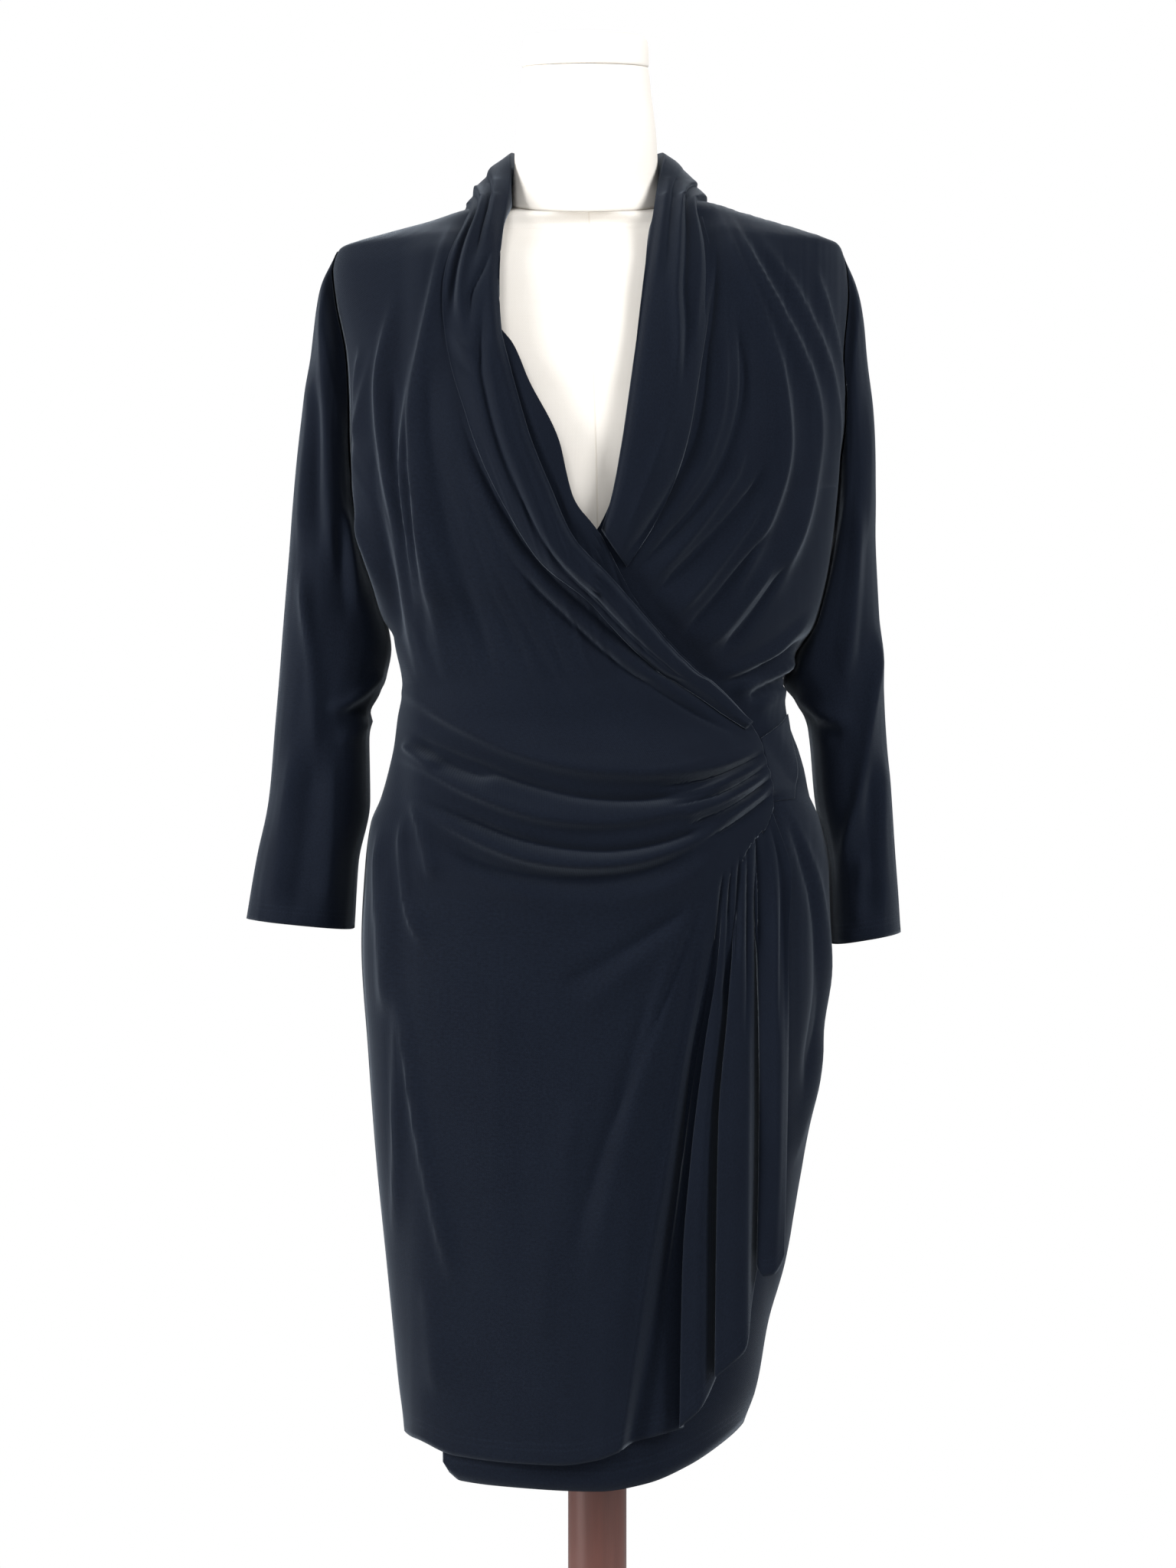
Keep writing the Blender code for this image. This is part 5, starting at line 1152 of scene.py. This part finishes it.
def cascade_points(down, column):
    """The cascade's points and its heads on the body. down runs from 0 at the heads to 1 at the hem."""
    head_x = np.array([t.head_x for t in CASCADE])
    head_z = np.array([float(t.head_z) for t in CASCADE])
    flat = body(body_angle(head_x, head_z), head_z)
    heads = flat + outward(flat) * right_front_push(flat)[..., None]
    steps = [0, 0.15, 0.3, 0.5, 0.7, 1]
    lines = [(h[0], t.x15, t.x30, t.x50, t.x70, t.x_hem) for t, h in zip(CASCADE, heads)]
    x = across_lines(np.stack([curve(steps, line)(down) for line in lines], -1), column)
    lines = [(-h[1], t.depth30, t.depth60, t.depth_hem) for t, h in zip(CASCADE, heads)]
    depth = across_lines(np.stack([curve([0, 0.3, 0.6, 1], line)(down) for line in lines], -1), column)
    hem_z = np.array([t.hem_z for t in CASCADE])
    z = across_lines(head_z + (hem_z - head_z) * down[:, None], column)
    points = np.stack([x, -depth, z], -1)
    flat = settle(path(np.arange(len(CASCADE)), flat)(column))
    points[0] = flat + outward(flat) * right_front_push(flat)[..., None]
    return points, flat


def right_front_points(hip_columns, fine, skirt_rows, waist_rows, side_rows, armhole_rows):
    """hip_columns plain columns, then the cascade's lines with fine columns to each."""
    column = np.linspace(0, len(CASCADE) - 1, (len(CASCADE) - 1) * fine + 1)
    down = np.linspace(0, 1, skirt_rows + 1)
    cascade, heads = cascade_points(down, column)
    share = np.linspace(0, 1, hip_columns + 1)[:-1]

    # plain part of the skirt, from the side seam to the cascade's first line
    hem_x, hem_z = through(RIGHT_HEM, "x")(share), through(RIGHT_HEM, "z")(share)
    hip_x, hip_z = through(HIP_ROW, "x")(share), through(HIP_ROW, "z")(share)
    z = hip_z + (hem_z - hip_z) * down[:, None]
    first_line = cascade[:, 0]
    first = body_angle(first_line[:, 0], first_line[:, 2])
    hip_share = (body_angle(hip_x, hip_z) - RIGHT) / (first[0] - RIGHT)
    hem_share = (body_angle(hem_x, hem_z) - RIGHT) / (first[-1] - RIGHT)
    hip_share[0] = 0
    hem_share[0] = 0
    part = hip_share + (hem_share - hip_share) * down[:, None]
    flat = body(RIGHT + part * (first - RIGHT)[:, None], z)
    under_line = body(first, first_line[:, 2])
    hang = under_line[:, 1] - first_line[:, 1] - right_front_push(under_line)
    push = right_front_push(flat) + hang[:, None] * smooth((part - 0.5) / 0.5)
    skirt = np.concatenate([flat + outward(flat) * push[..., None], cascade], axis=1)[::-1]

    # the drape above, from the hip row to the shoulder
    v = np.linspace(0, 1, waist_rows + side_rows + armhole_rows + 1)
    hip_row = np.concatenate([flat[0], heads])
    u = np.concatenate([share * SHOULDER_SHARE,
                        SHOULDER_SHARE + (1 - SHOULDER_SHARE) * column / column[-1]])
    shoulder = shoulder_points(RIGHT, u)
    neckline = neckline_points(RIGHT_NECKLINE, v, shoulder[-1])
    neckline[0] = hip_row[-1]
    side_z = np.concatenate([np.linspace(HIP_ROW_Z, BLOUSE_Z, waist_rows + 1)[:-1],
                             np.linspace(BLOUSE_Z, UNDERARM_Z, side_rows + 1)[:-1],
                             armhole_heights(armhole_rows)])
    side = side_points(RIGHT, side_z, 1)
    flat = patch(hip_row, shoulder, side, neckline, u, v)[1:]
    drape = flat + outward(flat) * right_front_push(flat)[..., None]
    return np.concatenate([skirt, drape]) + np.array([0, -SEAM / 2, 0])


right_points = right_front_points(hip_columns=72, fine=6, skirt_rows=104, waist_rows=94, side_rows=32,
                                  armhole_rows=44)
shown_x, shown_z = drawn(right_points)
pleats = fold_push(CASCADE_FOLDS, shown_x, shown_z)
right_points = right_points + outward(settle(right_points)) * pleats[..., None]
right_front = cloth_piece("right_front", right_points, hemmed_jersey)


# ---- side waist piece ----------------------------------------------------------------------------
# A small smooth piece of the same jersey at the left waist. The right front's gathers are sewn to
# its one edge, and its other edge lies on the left front beside the side seam.
TAB_LEFT = [Edge(0, 130, 966), Edge(0.35, 126.5, 980), Edge(0.65, 122.5, 996), Edge(1, 118.5, 1012)]
TAB_RIGHT = [Edge(0, 146, 968), Edge(0.4, 148, 985), Edge(0.8, 142, 1015), Edge(1, 139, 1032)]
TAB_AIR = 1.3            # from the left front's cloth to the middle of the piece's side edge


def waist_tab_points(rows, columns):
    """Columns run from the gathers to the side."""
    v = np.linspace(0, 1, rows + 1)
    u = np.linspace(0, 1, columns + 1)[None, :, None]
    flat = settle((1 - u) * along_rows(TAB_LEFT, v)[:, None] + u * along_rows(TAB_RIGHT, v)[:, None])
    away = (1 - u)[..., 0] * smooth(v / 0.25)[:, None]
    lift = left_front_push(flat) + TAB_AIR + (LAYER + GATHER_LIFT) * away ** 2
    return flat + outward(flat) * lift[..., None]


waist_tab = cloth_piece("waist_tab", waist_tab_points(rows=40, columns=24), plain_jersey)


# ---- sleeves -------------------------------------------------------------------------------------
# Three-quarter sleeves, cut a little wider at the cuff and set into the armholes. They hang empty,
# in long soft folds, and are twin-needled at the cuff.
# A ring gives its share of the sleeve's length, its outer and inner points, and its half depths.
Ring = namedtuple("Ring", "v out_x out_z in_x in_z front back")
SLEEVE_RIGHT = [
    Ring(0.10, -209, 1352, -182, 1190, 43, 52), Ring(0.20, -216, 1302, -180, 1165, 43, 54),
    Ring(0.32, -225, 1235, -172, 1140, 42, 56), Ring(0.42, -232, 1160, -162, 1112, 41, 55),
    Ring(0.50, -237, 1100, -156, 1082, 40, 54), Ring(0.57, -240, 1060, -164, 1050, 38, 52),
    Ring(0.64, -243, 1025, -173, 1030, 36, 50), Ring(0.76, -248, 968, -172, 968, 35, 49),
    Ring(0.88, -257, 925, -181, 920, 35, 50), Ring(1.00, -265, 879, -184, 871, 36, 52),
]
SLEEVE_LEFT = [
    Ring(0.10, 197, 1348, 178, 1190, 43, 52), Ring(0.20, 201, 1302, 177, 1165, 44, 54),
    Ring(0.32, 207, 1235, 170, 1136, 43, 57), Ring(0.42, 210, 1165, 156, 1094, 42, 57),
    Ring(0.50, 213, 1105, 141, 1058, 41, 56), Ring(0.57, 215, 1070, 151, 1042, 41, 55),
    Ring(0.64, 217, 1030, 160, 1020, 40, 54), Ring(0.76, 221, 975, 165, 968, 39, 53),
    Ring(0.88, 225, 920, 175, 913, 39, 54), Ring(1.00, 229, 869, 176, 860, 40, 56),
]
SLEEVE_Y = 8.0           # the sleeves' axis behind the body's
SLEEVE_SQUARE = {"outside": 2.2, "inside": 2.9}     # exponents of their sections, 2 for an ellipse
SLEEVE_STEP = 1.2        # how far over the body's cloth the sleeve's head is lapped
SLEEVE_LIFT = 2.1        # and how far it stands out from the body there
SLEEVE_CLEAR = 0.8       # air between a hanging sleeve and the cloth of the body
RIGHT_SLEEVE_FOLDS = [
    Fold(5.5, 6, 0.2, [(-203, 1372), (-206, 1330), (-206, 1290), (-205, 1240), (-203, 1200),
         (-200, 1160), (-196, 1125)]),
    Fold(5.5, 5, 0, [(-223, 1150), (-219, 1110), (-215, 1075), (-213, 1040), (-213, 1000)]),
    Fold(4.7, 6, 0, [(-216, 1300), (-217, 1250), (-220, 1200), (-224, 1150)]),
    Fold(-4.7, 5, 0, [(-211, 1290), (-211, 1240), (-211, 1190), (-210, 1150)]),
    Fold(4.7, 5, 0, [(-190, 1190), (-186, 1150), (-180, 1110)]),
    Fold(-3.9, 5, 0, [(-196, 1185), (-193, 1140), (-188, 1100)]),
    Fold(4.7, 5, 0.3, [(-160, 1068), (-172, 1052), (-190, 1040), (-208, 1036)]),
    Fold(-3.9, 4, 0, [(-160, 1055), (-176, 1040), (-196, 1028)]),
    Fold(3.9, 5, 0, [(-165, 1035), (-180, 1020), (-198, 1012)]),
    Fold(4.7, 8, 0, [(-226, 1020), (-232, 970), (-240, 920), (-246, 880)]),
    Fold(3.9, 7, 0, [(-200, 1000), (-200, 950), (-204, 900), (-206, 876)]),
    Fold(-3.9, 7, 0, [(-214, 1000), (-218, 950), (-224, 900), (-228, 878)]),
]
LEFT_SLEEVE_FOLDS = [
    Fold(4.6, 6, 0, [(199, 1362), (203, 1320), (204, 1270), (203, 1210), (202, 1150)]),
    Fold(6.2, 5, 0.2, [(214, 1110), (211, 1080), (205, 1030), (198, 975), (188, 935), (182, 905)]),
    Fold(4.7, 6, 0, [(196, 1200), (196, 1150), (192, 1100), (185, 1050)]),
    Fold(-2.6, 6, 0, [(203, 1180), (203, 1130), (199, 1080), (190, 1020)]),
    Fold(4.7, 7, 0, [(214, 1010), (214, 960), (215, 910), (216, 872)]),
    Fold(-3.9, 7, 0, [(207, 1000), (205, 950), (206, 900), (206, 872)]),
    Fold(3.9, 6, 0, [(200, 930), (198, 900), (197, 868)]),
    Fold(4.7, 5, 0.3, [(148, 1050), (160, 1036), (176, 1028), (194, 1026)]),
    Fold(-3.9, 4, 0, [(152, 1036), (168, 1022), (186, 1014)]),
]


def sleeve_points(rings, side, folds, rows, armhole_rows):
    """Outer points of a sleeve, rows up from the cuff. side is -1 for the wearer's right. The columns
    run from the shoulder down the front to the underarm and up the back."""
    seat = RIGHT if side < 0 else LEFT
    z = armhole_heights(armhole_rows)
    front_push = right_front_push if side < 0 else left_front_push
    front = side_points(seat, z, -side)
    front = front + outward(front) * front_push(front)[:, None]
    back = side_points(seat, z, side)
    back = back + outward(back) * back_push(back)[:, None]
    hole = np.concatenate([front[::-1], back[1:-1]])
    way_out = outward(hole)
    to_middle = hole.mean(axis=0) - hole
    to_middle[:, 0] = 0
    to_middle /= np.linalg.norm(to_middle, axis=-1, keepdims=True)
    lap = -0.6 * to_middle
    lap[:, 0] = -side * (1 - np.abs(way_out[:, 0]))
    hole = hole + way_out * SLEEVE_LIFT + lap * SLEEVE_STEP
    turn = np.linspace(0, 2 * pi, len(hole) + 1)[:-1]
    knots = [0.0] + [ring.v for ring in rings]
    v = np.linspace(0, 1, rows + 1)
    result = np.zeros((rows + 1, len(hole), 3))
    for number, a in enumerate(turn):
        square = SLEEVE_SQUARE["outside" if np.cos(a) > 0 else "inside"]
        edge = (abs(np.cos(a)) ** square + abs(np.sin(a)) ** square) ** (-1 / square)
        c, s = np.cos(a) * edge, np.sin(a) * edge
        places = [(
            (r.out_x + r.in_x) / 2 + (r.out_x - r.in_x) / 2 * c,
            SLEEVE_Y - ((r.front + SLEEVE_Y) if s > 0 else (r.back - SLEEVE_Y)) * s,
            (r.out_z + r.in_z) / 2 + (r.out_z - r.in_z) / 2 * c,
        ) for r in rings]
        result[:, number] = path(knots, np.vstack([hole[number], places]))(v)
    flat = settle(result[1:])
    v = v[:, None]
    air = SLEEVE_LIFT + SLEEVE_CLEAR * smooth(v[1:] / 0.2)
    result[1:] = keep_clear(result[1:], front_push(flat) + back_push(flat) + air)
    shown_x, shown_z = drawn(result)
    facing = np.abs(np.sin(turn))
    push = held(fold_push(folds, shown_x, shown_z), 2.5) * smooth(facing * 1.6)
    push = push + 0.25 * streaks(turn * 45 + 0 * v, v * 3, 31, side)
    push = push * smooth(v / 0.08)
    out = np.stack([np.cos(turn) * side, -np.sin(turn), 0 * turn], -1)
    return (result + out * push[..., None])[::-1]


right_grid = sleeve_points(SLEEVE_RIGHT, -1, RIGHT_SLEEVE_FOLDS, rows=110, armhole_rows=56)
sleeve_right = cloth_piece("sleeve_right", right_grid, hemmed_jersey, wall_side=-1, wrap=True)
left_grid = sleeve_points(SLEEVE_LEFT, 1, LEFT_SLEEVE_FOLDS, rows=110, armhole_rows=56)[:, ::-1]
sleeve_left = cloth_piece("sleeve_left", left_grid, hemmed_jersey, wall_side=-1, wrap=True)


# ---- collar --------------------------------------------------------------------------------------
# The shawl collar is a doubled, softly rolled strip of jersey in two halves. It lies along the
# neckline, stands up round the neck and is joined at the centre back.
# On the chest a row gives the inner and the outer edge on the front elevation, and how full the
# collar stands between them.
Chest = namedtuple("Chest", "edge_x edge_z out_x out_z full")
COLLAR_RIGHT = [
    Chest(110, 1025, 106, 1019, 1.0), Chest(88, 1050, 80, 1040, 2.0), Chest(62, 1076, 50, 1062, 2.5),
    Chest(36, 1106, 22, 1088, 3.0), Chest(8, 1138, -10, 1122, 3.5), Chest(-18, 1166, -42, 1148, 4.5),
    Chest(-36, 1205, -64, 1182, 5.5), Chest(-52, 1246, -84, 1222, 6.0), Chest(-64, 1288, -98, 1262, 6.5),
    Chest(-73, 1325, -110, 1300, 7.0), Chest(-74, 1362, -116, 1338, 7.5), Chest(-72, 1398, -114, 1372, 8.0),
]
COLLAR_LEFT = [
    Chest(4, 1171, 22, 1144, 2.0), Chest(12, 1198, 40, 1172, 4.0), Chest(19, 1235, 58, 1208, 5.0),
    Chest(25, 1275, 69, 1246, 6.0), Chest(31, 1320, 77, 1292, 6.5), Chest(36, 1362, 84, 1335, 7.5),
    Chest(41, 1400, 90, 1372, 8.0),
]
# Round the neck a row gives the angle from the side (0) to the centre back (1), the heights of the
# stand's foot, its rolled top and the outer edge, and how far the outer edge reaches.
Round = namedtuple("Round", "turn foot_z top_z out_z out_reach full")
COLLAR_NECK = [
    Round(-0.28, 1412, 1437, 1394, 0.86, 5.0), Round(0.0, 1421, 1457, 1415, 1.0, 5.5),
    Round(0.30, 1425, 1461, 1413, 1.0, 7.0), Round(0.62, 1428, 1463, 1411, 1.0, 7.0),
    Round(1.0, 1430, 1464, 1410, 1.0, 7.0),
]
NECK_STARTS, NECK_STEP = 0.6, 1.3    # where those rows lie after the chest's, and how far apart
NECK_MIDDLE = (-8.0, 5.0)
FOOT_RING = (62.0, 63.5)     # half width and half depth of the stand's foot
TOP_RING = (59.5, 63.0)      # of the rolled top
OUT_RING = (97.0, 82.0)      # of the outer edge
COLLAR_EDGE = 1.7            # from the cloth below to the middle of the collar's, at its outer edge
COLLAR_AIR = 2.7             # how much further off the collar lies inside that edge
BACK_GAP = 0.2               # spare room for the two halves' join at the centre back
TURN_ROUNDS = 180            # rounds that even out the turn from lying to standing
LIFT_EVERY, LAST_LIFT = 20, 90       # rounds between liftings, and rounds left after the last one
Crease = namedtuple("Crease", "height width line")
# Creases of the collar, each along v, the chest rows and then the neck, at a share of its width that
# is 0 at the inner edge and 1 at the outer.
RIGHT_CREASES = [
    Crease(-3.2, 0.08, [(1.5, 0.6), (3, 0.7), (4, 0.78), (5, 0.62), (6, 0.6), (7, 0.55), (8, 0.50),
         (8.8, 0.36), (9.6, 0.22)]),
    Crease(2.4, 0.12, [(2.5, 0.45), (4.5, 0.5), (6, 0.42), (8, 0.32), (9, 0.16)]),
    Crease(3.6, 0.09, [(8.1, 0.42), (8.6, 0.54), (9.0, 0.74), (9.5, 0.98)]),
    Crease(-2.6, 0.06, [(7.9, 0.56), (8.3, 0.64), (8.7, 0.82), (9.1, 1.0)]),
    Crease(3.2, 0.08, [(9.0, 0.60), (9.8, 0.66), (11, 0.60), (13, 0.58), (15, 0.58), (17.8, 0.6)]),
    Crease(-3.0, 0.06, [(9.0, 0.50), (9.7, 0.46), (10.1, 0.27), (10.7, 0.05)]),
    Crease(-2.6, 0.07, [(9.4, 0.82), (11, 0.74), (13, 0.72), (15, 0.72), (17.8, 0.74)]),
    Crease(2.4, 0.09, [(10.4, 0.24), (12, 0.22), (14, 0.22), (17.8, 0.25)]),
    Crease(-2.6, 0.06, [(10.2, 0.42), (12, 0.38), (14, 0.38), (17.8, 0.42)]),
    Crease(2.0, 0.08, [(9.6, 0.92), (12, 0.88), (17.8, 0.88)]),
]
LEFT_CREASES = [
    Crease(3.4, 0.07, [(3.4, 0.64), (4, 0.60), (5, 0.46), (6, 0.44), (7.5, 0.48), (9, 0.5),
         (12.8, 0.5)]),
    Crease(-3.2, 0.055, [(3.4, 0.76), (4.4, 0.68), (5.2, 0.56), (6, 0.54), (7.5, 0.58), (9, 0.60),
         (12.8, 0.62)]),
    Crease(2.6, 0.07, [(4.0, 0.88), (5, 0.80), (6, 0.78), (7.5, 0.78), (12.8, 0.8)]),
    Crease(-2.2, 0.055, [(4.6, 0.98), (5.4, 0.92), (6.4, 0.9), (7.5, 0.9), (12.8, 0.92)]),
    Crease(-2.0, 0.055, [(4.8, 0.30), (6, 0.26), (8, 0.28), (12.8, 0.3)]),
    Crease(1.8, 0.08, [(4.6, 0.16), (6, 0.14), (8, 0.12), (12.8, 0.14)]),
    Crease(1.6, 0.10, [(0.4, 0.5), (2, 0.56), (3.2, 0.68)]),
]


def ring_point(side, turn, ring, scale, z):
    """A point round the neck, turn 0 at the side and 1 at the centre back."""
    angle = turn * pi / 2
    return np.array([NECK_MIDDLE[0] + side * ring[0] * scale * np.cos(angle),
                     NECK_MIDDLE[1] + ring[1] * scale * np.sin(angle), z])


def crease_push(creases, v, share):
    """How far a collar's creases push it out. v and share are grids."""
    push = np.zeros_like(v)
    for crease in creases:
        line = np.array(crease.line, float)
        middle = curve(line[:, 0], line[:, 1])(v)
        ends = smooth((v - line[0, 0]) / 0.8) * smooth((line[-1, 0] - v) / 0.8)
        push += crease.height * ends * np.exp(-(np.abs(share - middle) / crease.width) ** CREST)
    return push


def collar_points(chest, side, rest_on, creases, rows, columns):
    """side is -1 for the wearer's right. Columns run from the foot of the stand to the outer edge."""
    edge = from_drawing([c.edge_x for c in chest], [c.edge_z for c in chest])
    out = from_drawing([c.out_x for c in chest], [c.out_z for c in chest])
    inwards = edge - out
    inwards /= np.linalg.norm(inwards, axis=-1, keepdims=True)
    top = np.array([ring_point(side, r.turn, TOP_RING, 1.0, r.top_z) for r in COLLAR_NECK])
    fall = np.array([ring_point(side, r.turn, OUT_RING, r.out_reach, r.out_z) for r in COLLAR_NECK])
    base = np.array([ring_point(side, r.turn, FOOT_RING, 1.0, r.foot_z) for r in COLLAR_NECK])
    neck_knots = len(chest) + NECK_STARTS + np.arange(len(COLLAR_NECK)) * NECK_STEP
    knots = np.append(np.arange(len(chest)), neck_knots)
    v = np.linspace(0, knots[-1], rows + 1)

    def run(first, second):
        """A line up the chest and on round the neck."""
        return path(knots, np.vstack([first, second]))(v)

    def clearance(flat, s):
        """How far from the body the collar starts at a share s of its width."""
        return rest_on(flat) + COLLAR_EDGE + COLLAR_AIR * smooth(s / 0.16) * (1 - smooth((s - 0.6) / 0.4))

    edge, out, foot = run(edge, top), settle(run(out, fall)), run(settle(edge + inwards), base)
    out_up = out + outward(out) * clearance(out, 1)[:, None]
    full = curve(knots, [c.full for c in chest] + [r.full for r in COLLAR_NECK])(v)
    stands = smooth((v - len(chest) + 2.4) / 2.2)[:, None]
    roll = curve([0, 0.10, 0.30, 0.58, 0.82, 1], [0.15, 0.8, 0.9, 0.75, 0.35, 0.0])
    bulge = curve([0, 0.3, 0.65, 1], [0.0, 1.0, 0.8, 0.0])
    strips = []
    for s in np.linspace(0, 1, columns):
        free = edge + (out_up - edge) * s
        flat = settle(free)
        lying = flat + outward(flat) * (clearance(flat, s) + full * roll(s))[:, None]
        standing = free + outward(free) * (full * bulge(s))[:, None]
        strips.append(lying * (1 - stands) + standing * stands)
    strips = np.stack(strips, 1)
    share = np.linspace(0, 1, columns)

    def lifted(points):
        """Lifts what lies too close to the cloth below, but nothing of the stand round the neck."""
        stand = smooth((points[..., 2] - NECK_POINT_Z + 8) / 26)
        return keep_clear(points, clearance(settle(points), share) - 100 * stand)

    # the turn from lying to standing is evened out
    turning = (smooth((v - len(chest) + 4) / 2) * smooth((len(chest) + 3 - v) / 2))[1:-1, None, None]
    for rounds_left in range(TURN_ROUNDS, 0, -1):
        if rounds_left % LIFT_EVERY == 0 and rounds_left > LAST_LIFT:
            strips = lifted(strips)
        strips[1:-1] += 0.25 * turning * (strips[:-2] - 2 * strips[1:-1] + strips[2:])
    push = crease_push(creases, v[:, None] + 0 * share, share + 0 * v[:, None])
    push = push * (1 - 0.4 * smooth((v - len(chest)) / 2))[:, None]
    strips = strips + outward(strips) * np.maximum(push, -0.55 * full[:, None])[..., None]
    flat = settle(foot)
    lying = flat + outward(flat) * clearance(flat, 0)[:, None]
    foot = lying * (1 - stands) + foot * stands
    points = np.concatenate([foot[:, None], strips], axis=1)
    points[-1, :, 0] = NECK_MIDDLE[0] + side * (SEAM / 2 + BACK_GAP)
    return points


right_grid = collar_points(COLLAR_RIGHT, -1, right_front_push, RIGHT_CREASES, rows=200, columns=44)
collar_right = cloth_piece("collar_right", right_grid[:, ::-1], plain_jersey, wall_side=0)
left_grid = collar_points(COLLAR_LEFT, 1, left_front_push, LEFT_CREASES, rows=170, columns=48)
collar_left = cloth_piece("collar_left", left_grid, plain_jersey, wall_side=0)


# ---- floor ---------------------------------------------------------------------------------------
# A plain round of pale studio floor that the base stands on. It is painted matt and is no part of
# the object.
bm = bmesh.new()
bmesh.ops.create_circle(bm, cap_ends=True, segments=96, radius=1.5)
mesh = bpy.data.meshes.new("floor")
bm.to_mesh(mesh)
bm.free()
floor = bpy.data.objects.new("floor", mesh)
paint = Finish("pale_floor")
paint.set(Base_Color=(0.86, 0.86, 0.85, 1), Roughness=0.7)
mesh.materials.append(paint.material)
bpy.context.scene.collection.objects.link(floor)
